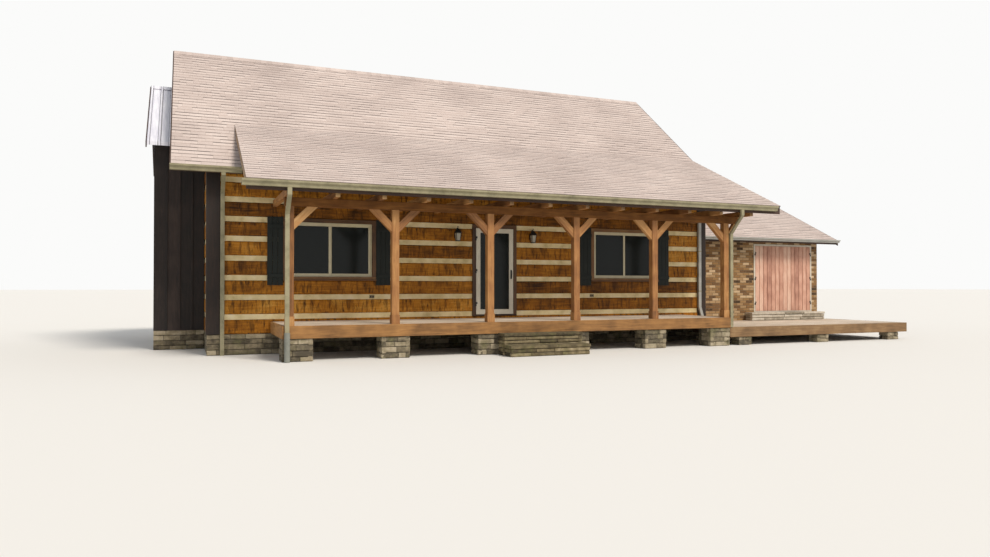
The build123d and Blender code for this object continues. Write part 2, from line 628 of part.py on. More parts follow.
# Porch floor: decking on joists between a ledger log and a rim, on stone piers
corner_x = WALL_RIGHT + CORNER_PROUD
corner_y = WALL_FRONT - CORNER_PROUD
walk_left = DECK_RIGHT + DECK_STEP_GAP
walk_rim_bottom = WALK_TOP - RIM_HEIGHT
parts["decking"] = gather(
    block(DECK_LEFT + RIM, DECK_RIGHT - RIM, 0, WALL_FRONT, DECK_TOP - DECKING, DECK_TOP),
    block(walk_left, WALK_RIGHT - RIM, WALK_FRONT + RIM, corner_y, WALK_TOP - DECKING, WALK_TOP)
    + block(corner_x, WALK_RIGHT - RIM, corner_y, WING_FRONT, WALK_TOP - DECKING, WALK_TOP),
)
parts["deck_front_rims"] = gather(
    block(DECK_LEFT, DECK_RIGHT, -RIM, 0, RIM_BOTTOM, DECK_TOP),
    block(walk_left, WALK_RIGHT, WALK_FRONT, WALK_FRONT + RIM, walk_rim_bottom, WALK_TOP),
)
parts["deck_side_rims"] = gather(
    block(DECK_LEFT, DECK_LEFT + RIM, 0, WALL_FRONT, RIM_BOTTOM, DECK_TOP),
    block(DECK_RIGHT - RIM, DECK_RIGHT, 0, WALL_FRONT, RIM_BOTTOM, DECK_TOP),
    block(WALK_RIGHT - RIM, WALK_RIGHT, WALK_FRONT + RIM, WING_FRONT, walk_rim_bottom, WALK_TOP),
)


def joist_run(first, last, y0, y1, z0, z1):
    """Floor joists at even spacing between two X positions."""
    count = int((last - first) // FLOOR_JOIST_SPACING)
    step = (last - first) / (count + 1)
    return [block(first + step * i - FLOOR_JOIST / 2, first + step * i + FLOOR_JOIST / 2, y0, y1, z0, z1)
            for i in range(1, count + 1)]


parts["deck_joists"] = gather(
    *joist_run(DECK_LEFT, DECK_RIGHT, 0, WALL_FRONT, RIM_BOTTOM, DECK_TOP - DECKING),
    *joist_run(DECK_RIGHT, corner_x, WALK_FRONT + RIM, corner_y, walk_rim_bottom, WALK_TOP - DECKING),
    *joist_run(corner_x, WALK_RIGHT, WALK_FRONT + RIM, WING_FRONT, walk_rim_bottom, WALK_TOP - DECKING),
)
piers = []
for i in range(BAYS + 1):
    centre = min(max(BAY * i, DECK_LEFT + PIER_WIDTH / 2), DECK_RIGHT - PIER_WIDTH / 2)
    piers.append(block(centre - PIER_WIDTH / 2, centre + PIER_WIDTH / 2, -PIER_PROUD, PIER_DEPTH - PIER_PROUD,
                       0, RIM_BOTTOM))
for i in range(WALK_PIERS):
    first_pier = DECK_RIGHT + WALK_PIER_INSET
    centre = first_pier + i * (WALK_RIGHT - WALK_PIER_INSET - first_pier) / (WALK_PIERS - 1)
    pier_rows = [WALK_FRONT + RIM / 2]
    if centre - WALK_PIER_WIDTH / 2 > corner_x:
        pier_rows.append(WING_FRONT - WALK_PIER_DEPTH - RIM)
    for y in pier_rows:
        piers.append(block(centre - WALK_PIER_WIDTH / 2, centre + WALK_PIER_WIDTH / 2,
                           y, y + WALK_PIER_DEPTH, 0, walk_rim_bottom))
parts["stone_piers"] = gather(*piers)


# Porch posts, front beam and braces
def post(i):
    """A post with a boxed foot."""
    x = BAY * i
    spread = (POST_FOOT - POST) / 2
    shaft = eased(block(x - POST / 2, x + POST / 2, 0, POST, DECK_TOP, BEAM_UNDERSIDE), Axis.Z)
    return shaft + block(x - POST_FOOT / 2, x + POST_FOOT / 2, -spread, POST + spread,
                         DECK_TOP, DECK_TOP + POST_FOOT_HEIGHT)


brace_front = (POST - BRACE_THICKNESS) / 2
brace_back = brace_front + BRACE_THICKNESS


def brace(x, side):
    """A knee brace from a post face up to the beam; side is +1 to the right."""
    short = BRACE_LEG - BRACE_DEPTH * 2 ** 0.5
    face = x + side * POST / 2
    outline = [(face, BEAM_UNDERSIDE - BRACE_LEG), (face, BEAM_UNDERSIDE - short),
               (face + side * short, BEAM_UNDERSIDE), (face + side * BRACE_LEG, BEAM_UNDERSIDE)]
    return prism_y(outline, brace_front, brace_back)


parts["porch_posts"] = gather(*[post(i) for i in range(BAYS + 1)])
parts["porch_beam"] = block(
    -POST / 2 - BEAM_LEFT_STUB, LAST_POST + POST / 2 + BEAM_RIGHT_STUB, 0, POST, BEAM_UNDERSIDE, BEAM_TOP)
braces = []
for i in range(BAYS + 1):
    for side in (-1, 1):
        if 0 <= i * 2 + side <= BAYS * 2:
            braces.append(brace(BAY * i, side))
last_face = LAST_POST + POST / 2
outrigger = [(last_face, BEAM_UNDERSIDE - OUTRIGGER_LEG),
             (last_face, BEAM_UNDERSIDE - OUTRIGGER_LEG + OUTRIGGER_FOOT),
             (last_face + OUTRIGGER_REACH - OUTRIGGER_HEAD, BEAM_TOP), (last_face + OUTRIGGER_REACH, BEAM_TOP)]
braces.append(prism_y(outrigger, brace_front, brace_back) - parts["porch_beam"])
parts["porch_braces"] = gather(*braces)

# Porch ceiling joists, rafters and roof
tail = -PORCH_EAVE + 2 * FASCIA
last_joist = last_face + OUTRIGGER_REACH - JOIST_WIDTH / 2
joist_count = int((last_joist - PORCH_RAKE_LEFT) // JOIST_SPACING) + 1
joist_centres = [last_joist - i * JOIST_SPACING for i in range(joist_count)]
parts["porch_joists"] = gather(*[
    block(x - JOIST_WIDTH / 2, x + JOIST_WIDTH / 2, tail, WALL_FRONT, BEAM_TOP, JOIST_TOP) for x in joist_centres])


def meet_main(offset):
    """Y where a line that runs below the porch roof by offset meets the main roof."""
    return (porch_roof_z(0) - offset - main_roof_z(0)) / (MAIN_SLOPE - PORCH_SLOPE)


def porch_rafter(x):
    """A rafter that sits on a joist and runs up to lie on the main roof."""
    seat_end = (JOIST_TOP - porch_roof_z(0) + SHEATHING + RAFTER_DEPTH) / PORCH_SLOPE
    low, high = meet_main(SHEATHING + RAFTER_DEPTH), meet_main(SHEATHING)
    outline = [(tail, JOIST_TOP), (seat_end, JOIST_TOP), (low, main_roof_z(low)), (high, main_roof_z(high)),
               (tail, porch_roof_z(tail) - SHEATHING)]
    return prism_x(outline, x - RAFTER_WIDTH / 2, x + RAFTER_WIDTH / 2)


def barge_rafter(x0):
    """The rafter under the open edge of the porch roof."""
    low, high = meet_main(SHEATHING + BARGE_DEPTH), meet_main(SHEATHING)
    outline = [(tail, porch_roof_z(tail) - SHEATHING - BARGE_DEPTH), (low, main_roof_z(low)),
               (high, main_roof_z(high)), (tail, porch_roof_z(tail) - SHEATHING)]
    return prism_x(outline, x0, x0 + RIM)


parts["porch_rafters"] = gather(
    *[porch_rafter(x) for x in joist_centres], barge_rafter(PORCH_RAKE_LEFT), barge_rafter(RAKE_RIGHT - RIM))
low, high = meet_main(SHEATHING), meet_main(0)
parts["porch_roof"] = prism_x(
    [(-PORCH_EAVE, porch_roof_z(-PORCH_EAVE) - SHEATHING), (low, main_roof_z(low)), (high, main_roof_z(high)),
     (-PORCH_EAVE, porch_roof_z(-PORCH_EAVE))], PORCH_RAKE_LEFT, RAKE_RIGHT)


# Stone steps up to the porch, and one at the wing doors
def stone_step(x0, x1, y0, y1, z0, top):
    """A tread that overhangs its riser at the front and both ends."""
    riser = block(x0 + NOSING, x1 - NOSING, y0 + NOSING, y1, z0, top - TREAD)
    return riser + block(x0, x1, y0, y1, top - TREAD, top)


steps_left = DOOR_CENTRE + STEPS_OFFSET - STEPS_WIDTH / 2
steps_right = steps_left + STEPS_WIDTH
parts["stone_steps"] = gather(
    stone_step(steps_left, steps_right, -RIM - 2 * STEP_GOING, -RIM - STEP_GOING + NOSING - STEP_JOINT, 0, STEP_RISE),
    stone_step(steps_left, steps_right, -RIM - STEP_GOING, -RIM, 0, 2 * STEP_RISE),
    stone_step(WING_DOOR_LEFT - STOOP_BEFORE_DOOR, WING_RIGHT, WING_FRONT - STOOP_GOING, WING_FRONT,
               WALK_TOP, DECK_TOP),
)

# Side annex, with trapezoidal ribs on its metal roof and a folded flashing over the ridge
annex_top = annex_roof_z(ANNEX_FRONT) - ANNEX_ROOF_DEPTH
annex_side = block(ANNEX_LEFT + ANNEX_WALL, WALL_LEFT, ANNEX_FRONT, ANNEX_FRONT + ANNEX_WALL,
                   SILL_LOG_BOTTOM, annex_top)
parts["annex_side_walls"] = gather(annex_side, mirror_back(annex_side))
parts["annex_end_wall"] = prism_x(
    [(ANNEX_FRONT, SILL_LOG_BOTTOM), (ANNEX_BACK, SILL_LOG_BOTTOM), (ANNEX_BACK, annex_top),
     (RIDGE_Y, annex_roof_z(RIDGE_Y) - ANNEX_ROOF_DEPTH), (ANNEX_FRONT, annex_top)],
    ANNEX_LEFT, ANNEX_LEFT + ANNEX_WALL)
annex_eave_y = ANNEX_FRONT - ANNEX_EAVE
annex_rake = ANNEX_LEFT - ANNEX_RAKE


def rib(x):
    """A raised rib of the metal roof, wide where it meets the sheet and narrow at its crest."""
    ends = []
    for y in (annex_eave_y, RIDGE_Y):
        z = annex_roof_z(y)
        outline = Polyline((x - RIB_WIDTH / 2, y, z), (x - RIB_CREST / 2, y, z + RIB_HEIGHT),
                           (x + RIB_CREST / 2, y, z + RIB_HEIGHT), (x + RIB_WIDTH / 2, y, z), close=True)
        ends.append(make_face(outline))
    return loft(ends)


annex_slab = slope_slab(annex_roof_z, annex_eave_y, ANNEX_ROOF_DEPTH, annex_rake, WALL_LEFT)
ribs = int((WALL_LEFT - annex_rake - RIB_WIDTH) // RIB_SPACING)
for i in range(ribs + 1):
    annex_slab += rib(annex_rake + RIB_WIDTH / 2 + i * RIB_SPACING)
parts["annex_roof_front"] = annex_slab
parts["annex_roof_back"] = mirror_back(annex_slab)
parts["annex_ridge_flashing"] = ridge_strip(annex_roof_z, RIB_HEIGHT, FLASHING_REACH, FLASHING, annex_rake, WALL_LEFT)

# Brick wing
parts["wing_front_wall"] = gather(
    block(WALL_RIGHT, WING_DOOR_LEFT, WING_FRONT, WING_FRONT + WING_WALL, 0, wing_wall_top),
    block(WING_DOOR_RIGHT, WING_RIGHT, WING_FRONT, WING_FRONT + WING_WALL, 0, wing_wall_top),
)
parts["wing_door_lintel"] = block(
    WING_DOOR_LEFT, WING_DOOR_RIGHT, WING_FRONT, WING_FRONT + WING_WALL, WING_DOOR_HEAD, wing_wall_top)
parts["wing_end_wall"] = block(
    WING_RIGHT - WING_WALL, WING_RIGHT, WING_FRONT + WING_WALL, WING_BACK - WING_WALL, 0, wing_wall_top)
parts["wing_back_wall"] = block(WALL_RIGHT, WING_RIGHT, WING_BACK - WING_WALL, WING_BACK, 0, wing_wall_top)
parts["wing_floor"] = block(
    WALL_RIGHT, WING_RIGHT - WING_WALL, WING_FRONT + WING_WALL, WING_BACK - WING_WALL,
    DECK_TOP - WING_FLOOR, DECK_TOP)
wing_eave_y = WING_FRONT - WING_EAVE
parts["wing_roof_front"] = slope_slab(
    wing_roof_z, wing_eave_y, WING_ROOF_DEPTH, WALL_RIGHT, WING_RIGHT + WING_RAKE)
parts["wing_roof_back"] = mirror_back(parts["wing_roof_front"])

# Wing door frame and its two boarded leaves
frame_front = WING_FRONT - WING_JAMB_PROUD
parts["wing_door_frame"] = ring(WING_DOOR_LEFT, WING_DOOR_RIGHT, frame_front, frame_front + WING_JAMB_DEPTH,
                                DECK_TOP, WING_DOOR_HEAD, WING_JAMB, foot=WING_SILL)
clear_left, clear_right = WING_DOOR_LEFT + WING_JAMB, WING_DOOR_RIGHT - WING_JAMB
leaf_width = (clear_right - clear_left - 3 * DOOR_GAP) / 2
leaf_bottom = DECK_TOP + WING_SILL + DOOR_GAP
leaf_top = WING_DOOR_HEAD - WING_JAMB - DOOR_GAP
leaf_front = frame_front


def boarded_leaf(x0):
    """A leaf of upright boards, held by three ledges on its inner face."""
    x1, back = x0 + leaf_width, leaf_front + LEAF_THICKNESS
    leaf = block(x0, x1, leaf_front, back, leaf_bottom, leaf_top)
    for i in range(1, LEAF_BOARDS):
        x = x0 + leaf_width * i / LEAF_BOARDS
        leaf -= block(x - LEAF_GROOVE / 2, x + LEAF_GROOVE / 2, leaf_front, leaf_front + LEAF_GROOVE_DEPTH,
                      leaf_bottom, leaf_top)
    for share in HINGE_SHARES:
        z = leaf_bottom + share * (leaf_top - leaf_bottom)
        leaf += block(x0 + LEDGE_INSET, x1 - LEDGE_INSET, back, back + LEDGE_THICKNESS,
                      z - LEDGE_HEIGHT / 2, z + LEDGE_HEIGHT / 2)
    return leaf


parts["wing_left_door"] = boarded_leaf(clear_left + DOOR_GAP)
parts["wing_right_door"] = boarded_leaf(clear_right - DOOR_GAP - leaf_width)


# Lift-off hinges: the lower knuckle is fixed to the jamb and the upper one to the leaf
def hinge_half(pin_x, face_y, z0, z1, side):
    """A knuckle and its plate, which lies on the face to one side of the pin; side is +1 to the right."""
    knuckle = Pos(pin_x, face_y - HINGE_RADIUS, (z0 + z1) / 2) * Cylinder(HINGE_RADIUS, z1 - z0)
    x0, x1 = sorted((pin_x, pin_x + side * (DOOR_GAP / 2 + HINGE_REACH)))
    return knuckle + block(x0, x1, face_y - HINGE_PLATE, face_y, z0, z1)


def hinge_set(pin_x, face_y, bottom, top, leaf_side):
    """The fixed and the moving halves of one leaf's hinges."""
    fixed, moving = [], []
    for share in HINGE_SHARES:
        z = bottom + share * (top - bottom)
        fixed.append(hinge_half(pin_x, face_y, z - HINGE_HEIGHT / 2, z - SEAT_GAP, -leaf_side))
        moving.append(hinge_half(pin_x, face_y, z, z + HINGE_HEIGHT / 2, leaf_side))
    return fixed, moving


storm_pin = storm_left - DOOR_GAP / 2
left_pin = clear_left + DOOR_GAP / 2
right_pin = clear_right - DOOR_GAP / 2
storm_fixed, storm_moving = hinge_set(storm_pin, storm_front, storm_bottom, storm_top, 1)
left_fixed, left_moving = hinge_set(left_pin, leaf_front, leaf_bottom, leaf_top, 1)
right_fixed, right_moving = hinge_set(right_pin, leaf_front, leaf_bottom, leaf_top, -1)
parts["jamb_hinge_knuckles"] = gather(*storm_fixed, *left_fixed, *right_fixed)
parts["storm_door_hinges"] = gather(*storm_moving)
parts["wing_left_hinges"] = gather(*left_moving)
parts["wing_right_hinges"] = gather(*right_moving)


# Gutters: ogee-fronted troughs on the fascias
def gutter(x0, x1, back_y, top, height=GUTTER_HEIGHT):
    """A trough whose back stands on the plane back_y, open at the top, with both ends closed."""
    def section(inset, lid):
        """The trough's outline, drawn in by inset and carried up past the top by lid."""
        low, front = top - height + inset, back_y - GUTTER_WIDTH + inset
        toe = back_y - GUTTER_FLOOR + inset
        waist = low + GUTTER_WAIST_SHARE * height
        return [(back_y - inset, top + lid), (back_y - inset, low), (toe, low), (toe - GUTTER_TOE, waist),
                (front, waist + GUTTER_LIP_SHARE * height), (front, top + lid)]

    return prism_x(section(0, 0), x0, x1) - prism_x(section(GUTTER_SKIN, GUTTER_SKIN), x0 + GUTTER_SKIN,
                                                    x1 - GUTTER_SKIN)


porch_fascia_y = -PORCH_EAVE + FASCIA
main_fascia_y = eave_y - FASCIA
wing_fascia_y = wing_eave_y - FASCIA
porch_gutter_top = porch_roof_z(-PORCH_EAVE) - SHEATHING - GUTTER_BELOW_SHEATHING
main_gutter_top = main_roof_z(eave_y) - GUTTER_BELOW_ROOF
wing_gutter_top = WING_EAVE_HEIGHT - GUTTER_BELOW_ROOF
MAIN_GUTTER_RIGHT = PORCH_RAKE_LEFT + MAIN_GUTTER_UNDER_PORCH
porch_gutter_ends = (PORCH_RAKE_LEFT - PORCH_GUTTER_BEFORE_RAKE, RAKE_RIGHT - PORCH_GUTTER_SHORT_OF_RAKE)
wing_gutter_ends = (WALL_RIGHT + GUTTER_END_GAP, WING_RIGHT + WING_RAKE)
wing_gutter = gutter(*wing_gutter_ends, wing_fascia_y, wing_gutter_top, WING_GUTTER_HEIGHT)
parts["gutters"] = gather(
    gutter(*porch_gutter_ends, porch_fascia_y, porch_gutter_top),
    gutter(RAKE_LEFT - GUTTER_END_GAP, MAIN_GUTTER_RIGHT, main_fascia_y, main_gutter_top),
    mirror_back(gutter(RAKE_LEFT - GUTTER_END_GAP, RAKE_RIGHT + GUTTER_END_GAP, main_fascia_y, main_gutter_top)),
    wing_gutter,
    mirror_back(wing_gutter),
)

# Fascia boards behind the gutters and rake boards on the gable edges
main_fascia_bottom = main_roof_z(eave_y) - MAIN_ROOF_DEPTH - FASCIA_DROP
main_fascia_top = main_roof_z(eave_y) - FASCIA_BELOW_ROOF
fascia_wing = block(WALL_RIGHT, WING_RIGHT + WING_RAKE, wing_fascia_y, wing_eave_y,
                    WING_EAVE_HEIGHT - WING_ROOF_DEPTH, WING_EAVE_HEIGHT - FASCIA_BELOW_ROOF)
porch_fascia_bottom = BEAM_TOP + PORCH_FASCIA_ABOVE_BEAM
parts["fascia_boards"] = gather(
    block(PORCH_RAKE_LEFT, RAKE_RIGHT, porch_fascia_y, tail, porch_fascia_bottom,
          porch_roof_z(porch_fascia_y) - SHEATHING),
    block(RAKE_LEFT, MAIN_GUTTER_RIGHT, main_fascia_y, eave_y, main_fascia_bottom, main_fascia_top),
    mirror_back(block(RAKE_LEFT, RAKE_RIGHT, main_fascia_y, eave_y, main_fascia_bottom, main_fascia_top)),
    fascia_wing,
    mirror_back(fascia_wing),
)


def rake_board(height_of, start_y, x0, depth):
    """A board that follows a roof slope on its gable edge, up to a fine joint at the ridge."""
    end_y = RIDGE_Y - STEP_JOINT
    outline = [(start_y, height_of(start_y) - RAKE_BELOW_ROOF), (end_y, height_of(end_y) - RAKE_BELOW_ROOF),
               (end_y, height_of(end_y) - depth), (start_y, height_of(start_y) - depth)]
    return prism_x(outline, x0, x0 + FASCIA)


rakes = []
for height_of, start_y, x0, depth in (
        (main_roof_z, main_fascia_y, RAKE_LEFT - FASCIA, RAKE_BOARD_DEPTH),
        (main_roof_z, main_fascia_y, RAKE_RIGHT, RAKE_BOARD_DEPTH),
        (annex_roof_z, annex_eave_y, annex_rake - FASCIA, ANNEX_ROOF_DEPTH + ANNEX_RAKE_DROP),
        (wing_roof_z, wing_fascia_y, WING_RIGHT + WING_RAKE, RAKE_BOARD_DEPTH)):
    board = rake_board(height_of, start_y, x0, depth)
    rakes += [board, mirror_back(board)]
parts["rake_boards"] = gather(*rakes)


# Downspouts, bent back from the gutters to the posts and walls
def pipe(points):
    """A rectangular pipe along a bent path, from straight runs joined face to face and fused."""
    shape = None
    for (xa, ya, za), (xb, yb, zb) in zip(points[:-1], points[1:]):
        upper = Pos(xa, ya, za) * Rectangle(PIPE_WIDTH, PIPE_DEPTH)
        lower = Pos(xb, yb, zb) * Rectangle(PIPE_WIDTH, PIPE_DEPTH)
        run = loft([lower, upper])
        shape = run if shape is None else shape + run
    return shape


def bent_back(x, outlet_y, top, neck, bend, back_y, foot):
    """A pipe that drops from its outlet, slants back between neck and bend, and runs down to its foot."""
    return pipe([(x, outlet_y, top), (x, outlet_y, neck), (x, back_y, bend), (x, back_y, foot)])


porch_outlet = porch_fascia_y - OUTLET_FROM_BACK
main_outlet = main_fascia_y - OUTLET_FROM_BACK
porch_gutter_bottom = porch_gutter_top - GUTTER_HEIGHT
main_gutter_bottom = main_gutter_top - GUTTER_HEIGHT
porch_neck = BEAM_TOP - PIPE_GAP
post_x = -PIPE_WIDTH / 2 - PIPE_BESIDE_POST
right_x = DECK_RIGHT + PIPE_WIDTH / 2
wall_y = WALL_FRONT - PIPE_DEPTH / 2
eave_pipe_centres = (WALL_LEFT + CORNER_IN + PIPE_WIDTH / 2, WALL_RIGHT - CORNER_IN - PIPE_WIDTH / 2)
corner_pipe_x = WALL_RIGHT - CORNER_IN + PIPE_WIDTH / 2
corner_pipe_y = corner_y - PIPE_DEPTH / 2
post_pipe = bent_back(post_x, porch_outlet, porch_gutter_bottom, porch_neck, porch_neck - POST_PIPE_BEND,
                      -RIM - PIPE_DEPTH / 2, BOOT_TOP)
right_pipe = bent_back(right_x, porch_outlet, porch_gutter_bottom, porch_neck, porch_neck - RIGHT_PIPE_BEND,
                       brace_front - PIPE_GAP - PIPE_DEPTH / 2, WALK_TOP)
eave_pipes = [bent_back(x, main_outlet, main_gutter_bottom, main_gutter_bottom - EAVE_PIPE_NECK,
                        main_gutter_bottom - EAVE_PIPE_BEND, wall_y, 0) for x in eave_pipe_centres]
corner_pipe = pipe([
    (corner_pipe_x, corner_pipe_y, JOIST_TOP), (corner_pipe_x, corner_pipe_y, DECK_TOP + KICK_TOP),
    (corner_pipe_x + KICK_OUT, corner_pipe_y, WALK_TOP + KICK_FOOT),
    (corner_pipe_x + KICK_OUT, corner_pipe_y, WALK_TOP)])
boot = Pos(post_x, -RIM - BOOT_RADIUS - SEAT_GAP, (BOOT_TOP - SEAT_GAP) / 2) * Cylinder(
    BOOT_RADIUS, BOOT_TOP - SEAT_GAP)
parts["downspouts"] = gather(
    post_pipe, right_pipe, eave_pipes[0], corner_pipe,
    mirror_back(eave_pipes[0]), mirror_back(eave_pipes[1]), boot)

# The origin is the bottom centre of the whole building
everything = Compound(children=[s for shape in parts.values() for s in shape.solids()]).bounding_box()
to_origin = Pos(-(everything.min.X + everything.max.X) / 2, -(everything.min.Y + everything.max.Y) / 2,
                -everything.min.Z)

os.makedirs("parts", exist_ok=True)
for name, shape in parts.items():
    solids = [to_origin * solid for solid in shape.solids()]
    export_step(solids[0] if len(solids) == 1 else Compound(children=solids), f"parts/{name}.step")
print("nodes", len(parts), "shift", to_origin.position)
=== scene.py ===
"""The looks of a log house with a long porch, a boarded annex and a brick wing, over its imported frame."""
import math
import random

import bmesh
import bpy
import numpy as np
from mathutils import Matrix, Vector, noise


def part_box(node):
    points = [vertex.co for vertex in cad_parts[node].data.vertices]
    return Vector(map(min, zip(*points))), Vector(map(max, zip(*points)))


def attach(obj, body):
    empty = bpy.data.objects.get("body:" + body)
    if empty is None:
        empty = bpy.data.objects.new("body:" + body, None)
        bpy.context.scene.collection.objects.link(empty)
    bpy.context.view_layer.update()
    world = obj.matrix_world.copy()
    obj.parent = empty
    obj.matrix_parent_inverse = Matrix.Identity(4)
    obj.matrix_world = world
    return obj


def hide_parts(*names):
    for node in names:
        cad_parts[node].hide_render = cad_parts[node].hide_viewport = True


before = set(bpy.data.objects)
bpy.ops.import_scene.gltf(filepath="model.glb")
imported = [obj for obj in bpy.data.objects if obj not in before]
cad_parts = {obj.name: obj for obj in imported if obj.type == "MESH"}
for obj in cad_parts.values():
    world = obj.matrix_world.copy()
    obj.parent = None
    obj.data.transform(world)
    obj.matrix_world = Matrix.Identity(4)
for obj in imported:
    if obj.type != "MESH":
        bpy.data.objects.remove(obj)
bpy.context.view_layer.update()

# Viewpoint, ground and light
# The camera stands where the house was seen from: low, left of the middle, and turned to the right.
# A big soft sun from the front right and an even sky light the house, over a plain pale floor.
CAMERA_PLACE = (-8.923, -19.766, 1.455)
CAMERA_TURN = math.radians(22.62)
CAMERA_TILT = math.radians(0.64)
IMAGE_WIDTH = 990
FOCAL_PIXELS = 746.1
SENSOR = 36.0
SKY_STRENGTH = 0.55
SUN_STRENGTH = 2.7
SUN_SOFTNESS = math.radians(18)
SUN_TURN = (math.radians(44), 0, math.radians(24))
FLOOR_HALF = 400.0


def colour(hex_code):
    """An sRGB hex colour as linear RGBA."""
    parts = [int(hex_code[i:i + 2], 16) / 255 for i in (1, 3, 5)]
    return tuple(c / 12.92 if c <= 0.04045 else ((c + 0.055) / 1.055) ** 2.4 for c in parts) + (1.0,)


def add(tree, kind, inputs=None, stops=None, **settings):
    """Adds a node and its settings. An input is a value, a hex colour, a socket or a node's first output."""
    made = tree.nodes.new(kind)
    for name, value in settings.items():
        setattr(made, name, value)
    for key, value in (inputs or {}).items():
        if isinstance(value, bpy.types.Node):
            value = value.outputs[0]
        if isinstance(value, bpy.types.NodeSocket):
            tree.links.new(value, made.inputs[key])
        else:
            made.inputs[key].default_value = colour(value) if isinstance(value, str) else value
    if stops:
        elements = made.color_ramp.elements
        while len(elements) < len(stops):
            elements.new(0.5)
        for element, (place, hex_code) in zip(elements, stops):
            element.position = place
            element.color = colour(hex_code)
    return made


def new_material(name, uv_map=None):
    """An empty node material, its tree, and the place on the piece: the object's own, or that of a UV map."""
    made = bpy.data.materials.new(name)
    made.use_nodes = True
    tree = made.node_tree
    tree.nodes.clear()
    if uv_map:
        return made, tree, add(tree, "ShaderNodeUVMap", uv_map=uv_map).outputs[0]
    return made, tree, add(tree, "ShaderNodeTexCoord").outputs["Object"]


def coat(made, shade, rough, height=None, strength=0.0, distance=0.0, more=None):
    """Ends a material with its shader: a colour, a roughness, and a height that raises the surface."""
    tree = made.node_tree
    inputs = {"Base Color": shade, "Roughness": rough, **(more or {})}
    if height:
        inputs["Normal"] = add(tree, "ShaderNodeBump", {"Strength": strength, "Distance": distance,
                                                        "Height": height})
    add(tree, "ShaderNodeOutputMaterial", {"Surface": add(tree, "ShaderNodeBsdfPrincipled", inputs)})
    return made


camera = bpy.data.objects.new("camera", bpy.data.cameras.new("camera"))
camera.data.sensor_width = SENSOR
camera.data.lens = FOCAL_PIXELS / IMAGE_WIDTH * SENSOR
camera.data.clip_end = 2 * FLOOR_HALF
camera.location = CAMERA_PLACE
camera.rotation_euler = (math.pi / 2 + CAMERA_TILT, 0, -CAMERA_TURN)
bpy.context.collection.objects.link(camera)
bpy.context.scene.camera = camera
bpy.context.scene.view_settings.view_transform = "Standard"

world = bpy.data.worlds.new("sky")
bpy.context.scene.world = world
world.use_nodes = True
sky = world.node_tree
sky.nodes.clear()
rays = add(sky, "ShaderNodeLightPath").outputs
seen = rays["Is Camera Ray"]
for ray in ("Is Transmission Ray", "Is Glossy Ray"):
    seen = add(sky, "ShaderNodeMath", {0: seen, 1: rays[ray]}, operation="MAXIMUM")
lit = add(sky, "ShaderNodeBackground", {"Color": "#f4f6fa", "Strength": SKY_STRENGTH})
white = add(sky, "ShaderNodeBackground", {"Color": "#fbfbfa", "Strength": 1.0})
mixed = add(sky, "ShaderNodeMixShader", {0: seen, 1: lit, 2: white})
add(sky, "ShaderNodeOutputWorld", {"Surface": mixed})

sun = bpy.data.objects.new("sun", bpy.data.lights.new("sun", "SUN"))
sun.data.energy = SUN_STRENGTH
sun.data.angle = SUN_SOFTNESS
sun.data.color = colour("#fff6ea")[:3]
sun.rotation_euler = SUN_TURN
bpy.context.collection.objects.link(sun)

floor_mesh = bpy.data.meshes.new("floor")
floor_mesh.from_pydata([(x * FLOOR_HALF, y * FLOOR_HALF, 0) for x, y in ((-1, -1), (1, -1), (1, 1), (-1, 1))],
                       [], [(0, 1, 2, 3)])
floor = bpy.data.objects.new("floor", floor_mesh)
bpy.context.collection.objects.link(floor)
floor_mesh.materials.append(coat(new_material("pale_floor_paint")[0], "#e9e8e4", 0.9))

# Stone foundation and piers
# Fieldstone laid in rough courses in grey mortar: under the log house and the annex, and under both decks.
# Each block has a mortar core, and stones of mixed length on the sides that show.
STONE_COURSE = 0.105
STONE_LENGTH = 0.29
STONE_MIX = (0.55, 1.5)
LAST_STONE = 0.4
STONE_JOINT = 0.012
STONE_DEPTH = 0.09
STONE_PROUD = 0.012
COURSE_SLACK = 0.16
MORTAR_IN = 0.35
WAVER_ALONG, WAVER_ACROSS, WAVER_IN = 0.11, 0.16, 0.2
MAP_SPREAD = 50
SMOOTH_BELOW = math.radians(35)
FRONT, BACK = Vector((0, -1, 0)), Vector((0, 1, 0))
LEFT, RIGHT, UP = Vector((-1, 0, 0)), Vector((1, 0, 0)), Vector((0, 0, 1))


def whole(node):
    """A frame node's mesh, its loose triangles merged, in a work mesh."""
    work = bmesh.new()
    work.from_mesh(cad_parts[node].data)
    bmesh.ops.remove_doubles(work, verts=work.verts, dist=1e-5)
    return work


def solids(node):
    """The lowest and highest corner of each separate solid in a frame node."""
    work = whole(node)
    left = set(work.verts)
    boxes = []
    while left:
        stack = [left.pop()]
        group = list(stack)
        while stack:
            for edge in stack.pop().link_edges:
                for vert in edge.verts:
                    if vert in left:
                        left.discard(vert)
                        stack.append(vert)
                        group.append(vert)
        places = np.array([v.co for v in group])
        boxes.append((Vector(places.min(axis=0)), Vector(places.max(axis=0))))
    work.free()
    return sorted(boxes, key=lambda box: tuple(round(c, 3) for c in (*box[0], *box[1])))


def show(name, mesh, stands_for=(), body="house"):
    """Puts a finished mesh in the scene on its body and the frame nodes that it stands for."""
    made = bpy.data.objects.new(name, mesh)
    bpy.context.collection.objects.link(made)
    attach(made, body)
    if stands_for:
        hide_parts(*stands_for)


